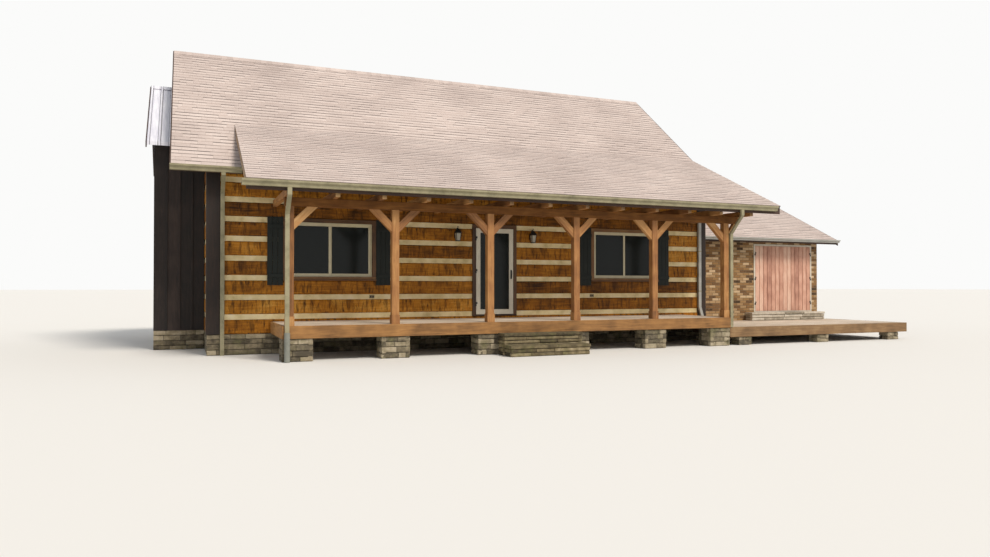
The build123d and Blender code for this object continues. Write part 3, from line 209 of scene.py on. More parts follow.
class Stock:
    """Timbers, boards and stones gathered into one mesh, with a map in metres along and round each piece."""

    def __init__(self, seed):
        self.random = random.Random(seed)
        self.verts, self.faces, self.maps, self.tones = [], [], [], []

    def piece(self, start, end, wide, deep, front=FRONT, ease=0.006, waver=0.0, step=1.0, rows=1,
              start_cut=None, end_cut=None):
        """A squared piece from start to end. front points out of its face; wide runs across that face.

        An end is square unless its cut gives the normal of the plane that it is sawn to.
        """
        start, end, out = Vector(start), Vector(end), Vector(front).normalized()
        along = (end - start).normalized()
        across = out.cross(along).normalized()
        length = (end - start).length
        columns = max(1, round(length / step))
        half, back = wide / 2, deep / 2
        face = [-half + ease + (wide - 2 * ease) * i / rows for i in range(rows + 1)]
        ring = [(a, back) for a in face] + [(half, back - ease), (half, ease - back), (half - ease, -back),
                                            (ease - half, -back), (-half, ease - back), (-half, back - ease)]
        girth = [0.0]
        for p, q in zip(ring, ring[1:] + ring[:1]):
            girth.append(girth[-1] + math.dist(p, q))
        tone = self.random.random()
        shift = self.random.random() * MAP_SPREAD
        base = len(self.verts)
        count = len(ring)
        for i in range(columns + 1):
            run = length * i / columns
            centre = start + along * run
            cut = {0: start_cut, columns: end_cut}.get(i)
            for a, d in ring:
                push = 0.0
                if waver:
                    place = Vector((run / WAVER_ALONG + shift, a / WAVER_ACROSS, d / WAVER_IN + tone * 9))
                    push = waver * (noise.noise(place) + 0.6 * noise.noise(place * 2.7))
                scale = 1 + push / max(half, back)
                spot = centre + across * a * scale + out * (d + (push if d > 0 else 0))
                if cut:
                    spot -= along * ((spot - centre).dot(cut) / along.dot(cut))
                self.verts.append(spot)
        for i in range(columns):
            u0, u1 = length * i / columns + shift, length * (i + 1) / columns + shift
            for k in range(count):
                n = (k + 1) % count
                low, high = base + i * count, base + (i + 1) * count
                self.faces.append((low + k, low + n, high + n, high + k))
                self.maps += [(u0, girth[k]), (u0, girth[k + 1]), (u1, girth[k + 1]), (u1, girth[k])]
        for i, order in ((0, range(count - 1, -1, -1)), (columns, range(count))):
            self.faces.append(tuple(base + i * count + k for k in order))
            self.maps += [(shift + ring[k][0] * 0.3, ring[k][1]) for k in order]
        self.tones += [tone] * ((columns + 1) * count)

    def fill(self, low, high, axis, front=FRONT, **look):
        """A squared piece that fills a box, along its axis 0, 1 or 2."""
        low, high = Vector(low), Vector(high)
        start, end, size = (low + high) / 2, (low + high) / 2, high - low
        start[axis], end[axis] = low[axis], high[axis]
        deep = max(range(3), key=lambda i: abs(front[i]))
        self.piece(start, end, size[3 - axis - deep], size[deep], front, **look)

    def show(self, name, material, slot, stands_for=(), body="house"):
        """Shows the gathered pieces as one mesh, with their grain map, their tones and a material."""
        made = bpy.data.meshes.new(name)
        made.from_pydata([tuple(v) for v in self.verts], [], self.faces)
        layer = made.uv_layers.new(name="grain")
        layer.data.foreach_set("uv", np.array(self.maps, dtype=np.float32).ravel())
        tone = made.attributes.new("tone", "FLOAT", "POINT")
        tone.data.foreach_set("value", np.array(self.tones, dtype=np.float32))
        made.materials.append(material)
        made.validate()
        made.shade_smooth()
        made.set_sharp_from_angle(angle=SMOOTH_BELOW)
        show(name, made, stands_for, body)


def settled(name, work, *materials):
    """A finished work mesh as a mesh with its materials."""
    made = bpy.data.meshes.new(name)
    work.to_mesh(made)
    work.free()
    for material in materials:
        made.materials.append(material)
    return made


def per(size):
    """The scale of a pattern whose marks are so many millimetres across."""
    return 1000 / size


def weighed(tree, total, *parts):
    """The sum of a surface's patterns, each times its weight, and a total to start from."""
    for pattern, weight in parts:
        total = add(tree, "ShaderNodeMath", {0: pattern, 1: weight, 2: total}, operation="MULTIPLY_ADD")
    return total


def patched(tree, place, shade, other, size, start, full, most):
    """A colour with patches of another over it, from start to full in a noise."""
    patch = add(tree, "ShaderNodeTexNoise", {"Vector": place, "Scale": per(size), "Detail": 7.0,
                                             "Roughness": 0.7})
    spread = add(tree, "ShaderNodeMapRange", {"Value": patch, "From Min": start, "From Max": full,
                                              "To Max": most})
    return add(tree, "ShaderNodeMix", {0: spread, 6: shade, 7: other}, data_type="RGBA").outputs[2]


def stone(name, stops, moss=0.0):
    """Rough stone or mortar: mottled, with another tone for each stone, and moss in its damp patches.

    The grit is drawn as coarse as 22 mm so that it shows.
    """
    made, tree, place = new_material(name)
    tone = add(tree, "ShaderNodeAttribute", attribute_name="tone").outputs["Fac"]
    mottle = add(tree, "ShaderNodeTexNoise", {"Vector": place, "Scale": per(111), "Detail": 8.0,
                                              "Roughness": 0.65})
    level = weighed(tree, -0.25, (tone, 0.5), (mottle, 1.0))
    shade = add(tree, "ShaderNodeValToRGB", {"Fac": level}, stops=stops)
    if moss:
        shade = patched(tree, place, shade, "#6a6a3c", 286, 0.5, 0.68, moss)
    grit = add(tree, "ShaderNodeTexNoise", {"Vector": place, "Scale": per(22.2), "Detail": 6.0,
                                            "Roughness": 0.7})
    return coat(made, shade, 0.88, grit, 0.7, 0.008)


def mixed_lengths(start, end, least, draw):
    """Parts a run into lengths that draw gives, one by one; a rest shorter than least joins the last."""
    while start < end - 1e-6:
        size = draw()
        if end - start - size < least:
            size = end - start
        yield start, start + size
        start += size


def rubble_face(stock, corner, along, out, length, height, course, stone_length):
    """Stones laid in uneven courses over one upright face; corner is its lowest corner where along starts."""
    pick = stock.random
    courses = max(1, round(height / course))
    beds = sorted(height * (i + pick.uniform(-COURSE_SLACK, COURSE_SLACK)) / courses
                  for i in range(1, courses))
    for z0, z1 in zip([0.0, *beds], [*beds, height]):
        for x0, x1 in mixed_lengths(0.0, length, LAST_STONE * stone_length,
                                    lambda: stone_length * pick.uniform(*STONE_MIX)):
            centre = corner + UP * (z0 + z1) / 2 - out * (STONE_DEPTH / 2 + pick.uniform(0.0, STONE_PROUD))
            if x1 - x0 > 3 * STONE_JOINT:
                start, end = (centre + along * x for x in (x0 + STONE_JOINT / 2, x1 - STONE_JOINT / 2))
                stock.piece(start, end, z1 - z0 - STONE_JOINT, STONE_DEPTH, out, ease=0.014, waver=0.006,
                            step=0.12, rows=2)


def rubble_block(stock, core, low, high, sides, course=STONE_COURSE, stone_length=STONE_LENGTH):
    """One block of walling: a mortar core and stones on the sides that face the given ways."""
    inset = Vector((MORTAR_IN * STONE_DEPTH, MORTAR_IN * STONE_DEPTH, 0.002))
    core.fill(low + inset, high - inset, 0, ease=0.002)
    size = high - low
    for out in sides:
        along = UP.cross(out)
        corner = Vector((high.x if along.x < 0 or out.x > 0 else low.x,
                         high.y if along.y < 0 or out.y > 0 else low.y, low.z))
        rubble_face(stock, corner, along, out, size.y if out.x else size.x, size.z, course, stone_length)


fieldstone = stone("rough_fieldstone",
                   [(0.25, "#4c4538"), (0.45, "#736955"), (0.6, "#90846c"), (0.8, "#aea28a")], moss=0.5)
mortar = stone("grey_bedding_mortar", [(0.2, "#565044"), (0.8, "#7d7566")])
for name, node, sides in (("foundation", "foundation_long_walls", (FRONT, BACK)),
                          ("foundation_ends", "foundation_end_walls", (LEFT, RIGHT)),
                          ("piers", "stone_piers", (FRONT, BACK, LEFT, RIGHT))):
    stones, core = Stock(31), Stock(32)
    for low, high in solids(node):
        rubble_block(stones, core, low, high, sides)
    stones.show(name + "_stones", fieldstone, "fieldstone", [node])
    core.show(name + "_mortar", mortar, "fieldstone")

# Floors
# Oiled softwood boards, brown and dull, are nailed down along the log house. The wing has a slab of
# float-finished concrete, clouded grey in patches 0.6 m across.
STREAK_LONG = 500
STREAK_FINENESS = 12
WOOD_LEVELS = (0.2, 0.5, 0.8)


def wood(name, shades, levels=WOOD_LEVELS, rough=0.6, bump=0.25, sheen=0.5, coords="grain", hewn=(),
         joints=0.0):
    """Wood: streaks along the grain, drawn 42 mm wide so that they show, blotches, and a tone for each piece.

    The shades go from dark to light. Hewn wood has strokes of the adze across it. With joints, boards of that
    width lie side by side.
    """
    made, tree, place = new_material(name, "grain" if coords == "grain" else None)
    fine = STREAK_FINENESS
    stretch = {"grain": (1, fine, 1), "x": (1, fine, fine), "y": (fine, 1, fine)}[coords]
    run = add(tree, "ShaderNodeMapping", {"Vector": place, "Scale": stretch})
    streaks = add(tree, "ShaderNodeTexNoise", {"Vector": run, "Scale": per(STREAK_LONG), "Detail": 6.0,
                                               "Roughness": 0.62, "Distortion": 0.6})
    blotch = add(tree, "ShaderNodeTexNoise", {"Vector": place, "Scale": per(435), "Detail": 3.0,
                                              "Roughness": 0.55})
    tone = add(tree, "ShaderNodeAttribute", attribute_name="tone").outputs["Fac"]
    level = weighed(tree, -0.25, (tone, 0.34), (blotch, 0.55), (streaks, 0.6))
    shade = add(tree, "ShaderNodeValToRGB", {"Fac": level}, stops=list(zip(levels, shades)))
    height, cuts, depth = streaks, 0.0, 0.0
    if hewn:
        depth = -2.0
        for across, down, low, part in hewn:
            field = add(tree, "ShaderNodeMapping", {"Vector": place, "Scale": (across, down, 1)})
            field = add(tree, "ShaderNodeTexNoise", {"Vector": field, "Scale": 1.0, "Detail": 3.0,
                                                     "Roughness": 0.6, "Distortion": 0.25})
            stroke = add(tree, "ShaderNodeMapRange", {"Value": field, "From Min": low, "From Max": low + 0.13,
                                                      "To Max": part})
            cuts = add(tree, "ShaderNodeMath", {0: cuts, 1: stroke}, operation="ADD", use_clamp=True)
    if joints:
        depth = -3.0
        cuts = add(tree, "ShaderNodeSeparateXYZ", {"Vector": place}).outputs[1]
        cuts = add(tree, "ShaderNodeMath", {0: cuts, 1: joints}, operation="DIVIDE")
        cuts = add(tree, "ShaderNodeMath", {0: cuts}, operation="FRACT")
        cuts = add(tree, "ShaderNodeMath", {0: cuts, 1: 0.04}, operation="LESS_THAN")
    if hewn or joints:
        shade = add(tree, "ShaderNodeMix", {0: cuts, 6: shade, 7: shades[0]}, data_type="RGBA").outputs[2]
        height = weighed(tree, streaks, (cuts, depth))
    return coat(made, shade, rough, height, bump, 0.006, {"Specular IOR Level": sheen})


def finish(node, material):
    """Gives a frame node that stays in view its material."""
    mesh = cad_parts[node].data
    mesh.materials.clear()
    mesh.materials.append(material)


floor_wood = wood("oiled_floor_boards", ("#5a3b22", "#84603c", "#a58259"), coords="x")
finish("main_floor", floor_wood)
concrete, tree, place = new_material("float_finished_concrete")
cloud = add(tree, "ShaderNodeTexNoise", {"Vector": place, "Scale": per(588), "Detail": 8.0,
                                         "Roughness": 0.65})
paint = add(tree, "ShaderNodeValToRGB", {"Fac": cloud}, stops=[(0.3, "#8d8a83"), (0.7, "#b3b0a8")])
finish("wing_floor", coat(concrete, paint, 0.85, cloud, 0.3, 0.002))

# Hewn logs
# Squared logs, hewn by hand with an adze and oiled: upright tool marks across the face, eased edges, and a
# colour that differs from log to log. They stand in courses with wide chinking between them.
LOG_EASE = 0.020
LOG_WAVER = 0.0045
LOG_STEP = 0.045
LOG_ROWS = 7
# Long strokes 67 mm wide and 385 mm tall and short ones 29 by 143 mm: how many to the metre along and down,
# where they start in the noise, and how much they darken.
HEWN_STROKES = ((15.0, 2.6, 0.5, 0.6), (34.0, 7.0, 0.52, 0.4))
log_wood = wood("oiled_hewn_oak_logs", ("#341d07", "#8b5615", "#b97922", "#d9a34a"), (0.18, 0.4, 0.6, 0.85),
                rough=0.62, bump=0.6, sheen=0.2, hewn=HEWN_STROKES)
house_low, house_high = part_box("corner_posts")
middle = (Vector(house_low) + Vector(house_high)) / 2
for node, seed in (("front_wall_logs", 11), ("back_wall_logs", 12), ("end_wall_logs", 13)):
    logs = Stock(seed)
    for low, high in solids(node):
        centre, size = (low + high) / 2, high - low
        if size.x > size.y:
            axis, front = 0, FRONT if centre.y < middle.y else BACK
        else:
            axis, front = 1, LEFT if centre.x < middle.x else RIGHT
        logs.fill(low, high, axis, front, ease=LOG_EASE, waver=LOG_WAVER, step=LOG_STEP, rows=LOG_ROWS)
    logs.show(node.replace("logs", "hewn_logs"), log_wood, "hewn_logs", [node])

# Chinking
# Lime mortar pressed between the logs over a backing, struck smooth and a little hollow: cream, with faint
# stains 0.3 m across. Its sand is drawn 6 mm coarse so that it shows.
chinking, tree, place = new_material("struck_lime_mortar")
cloud = add(tree, "ShaderNodeTexNoise", {"Vector": place, "Scale": per(323), "Detail": 5.0, "Roughness": 0.6})
grit = add(tree, "ShaderNodeTexNoise", {"Vector": place, "Scale": per(6.25), "Detail": 2.0})
paint = add(tree, "ShaderNodeValToRGB", {"Fac": cloud},
            stops=[(0.3, "#c9b583"), (0.5, "#e6d3a2"), (0.7, "#f3e4c0")])
finish("wall_chinking", coat(chinking, paint, 0.9, grit, 0.35, 0.003))

# Corner posts
# Sawn posts that close the ends of the log courses at the four corners, spiked to the logs from both sides.
# Their stain is so dark that the grain barely shows.
dark_wood = wood("dark_stained_posts", ("#140d09", "#291b13", "#3f2b1f"), rough=0.75)
corner = Stock(21)
for low, high in solids("corner_posts"):
    corner.fill(low, high, 2, ease=0.008, waver=0.002, step=0.12, rows=4)
corner.show("corner_timbers", dark_wood, "corner_boards", ["corner_posts"])

# Dark boarding
# Upright planks stained nearly black, their joints covered by battens, nailed over the gables and round the
# annex. The stain lets the grain through as faint brown streaks.
PLANK = 0.235
PLANK_JOINT = 0.004
BATTEN = 0.05
BATTEN_PROUD = 0.018
MAIN_GABLE_TOP = 6.0


def slope_of(node):
    """Eave and ridge of a roof slope: its corners on the top surface, and its two ends in X."""
    points = np.array([v.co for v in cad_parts[node].data.vertices])
    eave_y, ridge_y = points[:, 1].min(), points[:, 1].max()
    if node.endswith("back"):
        eave_y, ridge_y = ridge_y, eave_y
    tops = [points[np.abs(points[:, 1] - y) < 1e-4][:, 2].max() for y in (eave_y, ridge_y)]
    return Vector((0, eave_y, tops[0])), Vector((0, ridge_y, tops[1])), points[:, 0].min(), points[:, 0].max()


def pitch_of(node):
    """The rise over run of a roof slope."""
    eave, ridge = slope_of(node)[:2]
    return abs((ridge.z - eave.z) / (ridge.y - eave.y))


def pitch_over(high):
    """The pitch of the roof over a gable or under a ridge cap: the main roof's, or the wing's lower down."""
    return pitch_of("main_roof_front" if high.z > MAIN_GABLE_TOP else "wing_roof_front")


def planks(stock, start, end, out, thick, pitch=0.0):
    """Planks and battens over a wall face from start to end, whose top falls at pitch from its middle."""
    start, end = Vector(start), Vector(end)
    flat = Vector((end.x - start.x, end.y - start.y, 0))
    along = flat.normalized()
    count = 2 * max(1, round(flat.length / PLANK / 2))
    step = flat.length / count

    def board(run, behind, wide, deep, ease, lean, drop=0.0):
        """One board from the foot of the wall to its sloped top."""
        foot = start - out * behind + along * run
        top = end.z - pitch * abs(run - flat.length / 2) - drop
        stock.piece(foot, (foot.x, foot.y, top), wide, deep, out, ease=ease, end_cut=UP - along * lean)

    for i in range(count):
        run = (i + 0.5) * step
        board(run, BATTEN_PROUD + (thick - BATTEN_PROUD) / 2, step - PLANK_JOINT, thick - BATTEN_PROUD, 0.003,
              pitch if run < flat.length / 2 else -pitch)
    for i in range(1, count):
        lean = 0.0 if i == count // 2 else pitch if i < count / 2 else -pitch
        board(i * step, BATTEN_PROUD / 2, BATTEN, BATTEN_PROUD, 0.002, lean,
              BATTEN / 2 * pitch if i == count // 2 else 0.0)


black_boards = wood("black_stained_boards", ("#100c0b", "#241b18", "#3c302b"), rough=0.75)
gables = Stock(61)
for low, high in solids("boarded_gables"):
    start, end, out = (high.x, low.y, low.z), high, RIGHT
    if high.x < middle.x:
        start, end, out = (low.x, high.y, low.z), (low.x, low.y, high.z), LEFT
    planks(gables, start, end, out, high.x - low.x, pitch_over(high))
gables.show("gable_boarding", black_boards, "dark_boards", ["boarded_gables"])
(front_low, front_high), (back_low, back_high) = solids("annex_side_walls")
low, high = solids("annex_end_wall")[0]
annex_end, annex_sides = Stock(62), Stock(63)
planks(annex_end, (low.x, back_low.y, low.z), (low.x, front_high.y, high.z), LEFT, high.x - low.x,
       pitch_of("annex_roof_front"))
annex_end.show("annex_end_boarding", black_boards, "dark_boards", ["annex_end_wall"])
planks(annex_sides, (low.x, front_low.y, front_low.z), (front_high.x, front_low.y, front_high.z), FRONT,
       front_high.y - front_low.y)
planks(annex_sides, (back_high.x, back_high.y, back_low.z), (low.x, back_high.y, back_high.z), BACK,
       back_high.y - back_low.y)
annex_sides.show("annex_side_boarding", black_boards, "dark_boards", ["annex_side_walls"])

# Windows
# Two-light sliding windows: brown stained casings with a sloped sill, nailed to the logs, and cream vinyl
# sashes, dull and soiled. The glass waves every 0.7 m, and is tinted dark grey-green as painted shade for
# the unlit rooms behind it.
TRACK_FACE = 0.02
TRACK_DEPTH = 0.064
SASH_STILE = 0.055
SILL_PROUD = 0.03
SILL_THICK = 0.034
EDGE = 0.003


def surround(stock, low, high, face, foot=None, ease=EDGE):
    """Two upright pieces between a head and a foot, round an opening."""
    foot = face if foot is None else foot
    stock.fill((low.x, low.y, high.z - face), high, 0, ease=ease)
    stock.fill(low, (high.x, high.y, low.z + foot), 0, ease=ease)
    for x in (low.x, high.x - face):
        stock.fill((x, low.y, low.z + foot), (x + face, high.y, high.z - face), 2, ease=ease)


def enamel(name, fresh, worn, rough=0.45, grime=0.25):
    """Smooth paint, vinyl or cast metal: even, soiled in patches, with a faint grain drawn 17 mm across."""
    made, tree, place = new_material(name)
    shade = patched(tree, place, fresh, worn, 250, 0.42, 0.72, grime)
    grit = add(tree, "ShaderNodeTexNoise", {"Vector": place, "Scale": per(16.7), "Detail": 3.0})
    return coat(made, shade, rough, grit, 0.12, 0.001)


brown_casing = wood("brown_stained_casing", ("#3f2916", "#6e4b2a", "#8f6a3f"))
cream_sash = enamel("cream_vinyl_sash", "#cfc6a6", "#8f8664")
casings, sashes = Stock(71), Stock(72)
casing_face = solids("window_sashes")[0][0].x - solids("window_casings")[0][0].x
for low, high in solids("window_casings"):
    toward = -1 if low.y < 0 else 1
    face = low if toward < 0 else high
    y, z = face.y - toward * SILL_PROUD / 2, low.z + SILL_THICK / 2
    casings.piece((low.x, y, z), (high.x, y, z), SILL_THICK, SILL_PROUD, (0, toward, -0.2), ease=EDGE)
    face.y -= toward * SILL_PROUD
    surround(casings, low, high, casing_face)
for low, high in solids("window_sashes"):
    surround(sashes, low, high, TRACK_FACE if high.y - low.y > 0.9 * TRACK_DEPTH else SASH_STILE)
casings.show("window_casing_boards", brown_casing, "window_casing", ["window_casings"])
sashes.show("window_sliding_sashes", cream_sash, "window_sash", ["window_sashes"])
# Painted shade: the glass is tinted dark grey-green to stand for the unlit rooms behind it.
glass, tree, place = new_material("shade_tinted_pane_glass")
ripple = add(tree, "ShaderNodeTexNoise", {"Vector": place, "Scale": per(714), "Detail": 1.0})
coat(glass, "#272d2b", 0.14, ripple, 0.12, 0.02,
     {"IOR": 1.35, "Transmission Weight": 0.5, "Specular IOR Level": 0.15})
finish("window_glass", glass)

# Shutters
# Three upright boards and two battens, painted green-black, screwed to the logs beside each front window. The
# paint is flat, with faint paler patches.
SHUTTER_BOARDS = 3
SHUTTER_BOARD = 0.024
SHUTTER_JOINT = 0.004
SHUTTER_BATTEN = 0.09
SHUTTER_SHARES = (0.14, 0.86)
shutter_paint = enamel("green_black_paint", "#0b1410", "#1a231e", rough=0.75, grime=0.5)
shutters = Stock(73)
for low, high in solids("shutters"):
    board_y = high.y - SHUTTER_BOARD
    width = (high.x - low.x) / SHUTTER_BOARDS
    for i in range(SHUTTER_BOARDS):
        x = low.x + i * width + SHUTTER_JOINT / 2
        shutters.fill((x, board_y, low.z), (x + width - SHUTTER_JOINT, high.y, high.z), 2, ease=0.004)
    for share in SHUTTER_SHARES:
        z = low.z + share * (high.z - low.z)
        shutters.fill((low.x, low.y, z - SHUTTER_BATTEN / 2), (high.x, board_y, z + SHUTTER_BATTEN / 2), 0,
                      ease=0.004)
shutters.show("shutter_boards", shutter_paint, "shutter_paint", ["shutters"])

# Front door
# A dark casing round the doorway, and a full-glass storm door with a white satin frame on three lift-off
# hinges. Its handle, its hinges and those of the wing doors are black iron, dull and slightly worn.
DOOR_THRESHOLD = 0.03
storm_white = enamel("white_storm_door_paint", "#dcd6c4", "#a19a84", rough=0.4)
black_iron = enamel("black_iron", "#171615", "#2c2926", rough=0.5)
door_casing = wood("dark_door_casing", ("#29190e", "#48301d", "#66472c"))
door_case, storm = Stock(74), Stock(75)
low, high = solids("front_door_casing")[0]
door_low, door_high = solids("storm_door_frame")[0]
glass_low, glass_high = solids("storm_door_glass")[0]
surround(door_case, low, high, casing_face, foot=DOOR_THRESHOLD)
surround(storm, door_low, door_high, door_high.z - glass_high.z, foot=glass_low.z - door_low.z, ease=0.005)
door_case.show("door_casing_boards", door_casing, "window_casing", ["front_door_casing"])
storm.show("storm_door_stiles", storm_white, "storm_door_white", ["storm_door_frame"], body="storm_door")
# The storm door's glass has the same dark tint of painted shade for the unlit rooms.
finish("storm_door_glass", glass)
for node in ("storm_door_handle", "jamb_hinge_knuckles", "storm_door_hinges", "wing_left_hinges",
             "wing_right_hinges"):
    finish(node, black_iron)

# Lanterns and outlet covers
# A black iron lantern hangs from its arm on each side of the door. Its seeded glass is pale, and blurred by
# bubbles drawn 14 mm across. Two dull tan cast outlet covers are screwed into the chinking under the windows.
COVER_HALF = Vector((0.0575, 0, 0.0375))
COVER_PROUD = 0.012
COVER_PLACES = (-4.961, 0.799)
SOCKET_FROM_CENTRE = 0.027
SOCKET_HALF = Vector((0.018, 0.003, 0.02))
finish("wall_lanterns", black_iron)
lantern_glass, tree, place = new_material("seeded_lantern_glass")
seeds = add(tree, "ShaderNodeTexNoise", {"Vector": place, "Scale": per(14.3), "Detail": 2.0})
coat(lantern_glass, "#d8d2bd", 0.3, seeds, 0.12, 0.001, {"IOR": 1.45, "Transmission Weight": 0.45})
finish("lantern_glass", lantern_glass)
cover_paint = enamel("cast_outlet_cover", "#8a7d5c", "#5a5038", rough=0.5)
covers, sockets = Stock(76), Stock(77)
chink_low, chink_high = min(solids("wall_chinking"), key=lambda box: (round(box[0].y, 2), box[0].z))
log_low, log_high = solids("front_wall_logs")[0]
course = chink_high.z - chink_low.z + log_high.z - log_low.z
for x in COVER_PLACES:
    centre = Vector((x, chink_low.y, (chink_low.z + chink_high.z) / 2 + course))
    covers.fill(centre - COVER_HALF - BACK * COVER_PROUD, centre + COVER_HALF, 2, ease=0.003)
    for turn in (-1, 1):
        socket = centre + Vector((turn * SOCKET_FROM_CENTRE, -COVER_PROUD, 0))
        sockets.fill(socket - SOCKET_HALF, socket + SOCKET_HALF, 2, ease=0.002)
covers.show("outlet_covers", cover_paint, "black_metal")
sockets.show("outlet_sockets", black_iron, "black_metal")

# Porch floor and walkway
# Softwood boards, weathered pale, laid along both decks on raw brown joists. The porch's rim boards are
# stained reddish brown, and those of the lower walkway have weathered greyer and carry painted shade.
DECK_BOARD = 0.142
DECK_JOINT = 0.006
DECK_LENGTH = 3.66
DECK_SHARES = (0.5, 0.67, 1.0)
LAST_DECK_BOARD = 0.3
DECK_END_GAP = 0.0015
deck_wood = wood("weathered_deck_boards", ("#9a8976", "#cbbaa5", "#e8dccd"), rough=0.8)
rim_wood = wood("red_brown_rim_boards", ("#64431f", "#a0733f", "#c59a63"), rough=0.7)
# The walkway's rims: weathered greyer, and darker than the porch's rims as painted shade.
walk_rim_wood = wood("weathered_and_shaded_walk_rims", ("#4b3720", "#836543", "#a88b63"), rough=0.75)
joist_wood = wood("sawn_floor_joists", ("#4a3626", "#6f5640", "#8d7359"), rough=0.8, coords="y")


def deck_boards(stock, x0, x1, y0, y1, low, high):
    """Boards along X between two lines in Y, in lengths that end at random joists."""
    count = round((y1 - y0) / DECK_BOARD)
    pitch = (y1 - y0) / count
    for i in range(count):
        y = y0 + i * pitch + DECK_JOINT / 2
        for start, end in mixed_lengths(x0, x1, LAST_DECK_BOARD * DECK_LENGTH,
                                        lambda: DECK_LENGTH * stock.random.choice(DECK_SHARES)):
            stock.fill((start + DECK_END_GAP, y, low), (end - DECK_END_GAP, y + pitch - DECK_JOINT, high), 0,
                       UP, ease=0.004)


decks, rims, walk_rims = Stock(81), Stock(82), Stock(83)
(porch_low, porch_high), (walk_low, walk_high) = solids("decking")
post_low, post_high = solids("corner_posts")[2]
for x0, x1, y0, y1, low, high in (
        (porch_low.x, porch_high.x, porch_low.y, porch_high.y, porch_low, porch_high),
        (walk_low.x, walk_high.x, walk_low.y, post_low.y, walk_low, walk_high),
        (post_high.x, walk_high.x, post_low.y, walk_high.y, walk_low, walk_high)):
    deck_boards(decks, x0, x1, y0, y1, low.z, high.z)
decks.show("deck_planks", deck_wood, "deck_boards", ["decking"])
for low, high in solids("deck_front_rims") + solids("deck_side_rims"):
    into = walk_rims if high.z < porch_low.z else rims
    if high.x - low.x > high.y - low.y:
        into.fill(low, high, 0, ease=0.003)
    else:
        into.fill(low, high, 1, RIGHT if low.x + high.x > 0 else LEFT, ease=0.003)
rims.show("rim_boards", rim_wood, "deck_rim", ["deck_front_rims", "deck_side_rims"])
walk_rims.show("walk_rim_boards", walk_rim_wood, "deck_rim")
finish("deck_joists", joist_wood)

# Stone steps
# Long flat sandstone slabs: mossy ones up to the porch, and a paler step at the wing doors. The worn treads
# overhang thinly coursed risers at the front and both ends.
TREAD = 0.07
NOSING = 0.02
TREAD_STONE = 0.95
TREAD_MIX = (0.7, 1.4)
LAST_TREAD = 0.5
TREAD_WEAR = 0.006
TREAD_JOINT = 0.008
RISER_COURSE = 0.085
RISER_STONE = 0.6
mossy_stone = stone("mossy_sandstone",
                    [(0.25, "#3f3726"), (0.45, "#61563d"), (0.65, "#827557"), (0.85, "#a8997a")], moss=0.6)
pale_stone = stone("pale_sandstone", [(0.25, "#857c6c"), (0.5, "#b4aa99"), (0.8, "#d2cabb")], moss=0.15)
wing_doorway = solids("wing_door_frame")[0][0].x
for side, sandstone in (("porch", mossy_stone), ("wing", pale_stone)):
    steps, step_core = Stock(41), Stock(42)
    for low, high in solids("stone_steps"):
        if (high.x > wing_doorway) != (side == "wing"):
            continue
        rubble_block(steps, step_core, low + Vector((NOSING, NOSING, 0)), high - Vector((NOSING, 0, TREAD)),
                     (FRONT, LEFT, RIGHT), RISER_COURSE, RISER_STONE)
        for start, end in mixed_lengths(low.x + TREAD_WEAR, high.x - TREAD_WEAR, LAST_TREAD * TREAD_STONE,
                                        lambda: TREAD_STONE * steps.random.uniform(*TREAD_MIX)):
            steps.fill((start + TREAD_JOINT / 2, low.y + TREAD_WEAR, high.z - TREAD + TREAD_WEAR / 2),
                       (end - TREAD_JOINT / 2, high.y - TREAD_WEAR, high.z - TREAD_WEAR / 2), 0,
                       ease=0.012, waver=0.004, step=0.09, rows=2)
    steps.show(side + "_step_stones", sandstone, "step_stone", ["stone_steps"] if side == "porch" else ())
    step_core.show(side + "_step_mortar", mortar, "step_stone")

# Porch frame
# Six posts with boxed feet, one long beam, knee braces let in between them, and joists across to the logs, in
# rough-sawn pine stained orange-brown. The beam's colour carries painted shade from the eave, the joists'
# cut ends have weathered dull brown, and the rafters are a paler tan.
FOOT_BOARD = 0.011
FOOT_HEIGHT = 0.18
BRACE_DEPTH = 0.148
OUTRIGGER_DEPTH = 0.125
OUTRIGGER_FOOT = 0.085
OUTRIGGER_HEAD = 0.065
TAIL_SKIN = 0.003
TAIL_LAP = 0.0005
PINE_LEVELS = (0.2, 0.45, 0.62, 0.85)
frame_wood = wood("stained_porch_timber", ("#5f3c1a", "#946335", "#b07f49", "#d1a873"), PINE_LEVELS,
                  rough=0.68, bump=0.4)
# The beam's darker colour is painted shade from the eave.
beam_wood = wood("shaded_porch_beam", ("#40270d", "#6c431b", "#855829", "#a67d49"), PINE_LEVELS,
                 rough=0.68, bump=0.4, sheen=0.2)
end_grain = wood("weathered_end_grain", ("#4f3820", "#7d5e3a", "#9f7f54"), rough=0.8)
rafter_wood = wood("stained_rafters", ("#7a6249", "#a58a6b", "#c7ad8c"), rough=0.7, coords="y")
posts, beam, braces, joists, tails = (Stock(seed) for seed in (91, 92, 93, 94, 95))
shafts = solids("porch_posts")
for low, high in shafts:
    inset = Vector((FOOT_BOARD, FOOT_BOARD, 0))
    posts.fill(low + inset, high - inset, 2, waver=0.0015, step=0.15, rows=3)
    left, near, right, far = low.x + FOOT_BOARD, low.y + FOOT_BOARD, high.x - FOOT_BOARD, high.y - FOOT_BOARD
    for x0, y0, x1, y1, out in ((low.x, low.y, high.x, near, FRONT), (low.x, near, left, far, LEFT),
                                (low.x, far, high.x, high.y, BACK), (right, near, high.x, far, RIGHT)):
        posts.fill((x0, y0, low.z), (x1, y1, low.z + FOOT_HEIGHT), 2, out, ease=0.003)
posts.show("post_timbers", frame_wood, "porch_timber", ["porch_posts"])
beam_low, beam_high = solids("porch_beam")[0]
beam.fill(beam_low, beam_high, 0, waver=0.002, step=0.2, rows=3)
beam.show("beam_timber", beam_wood, "porch_timber", ["porch_beam"])
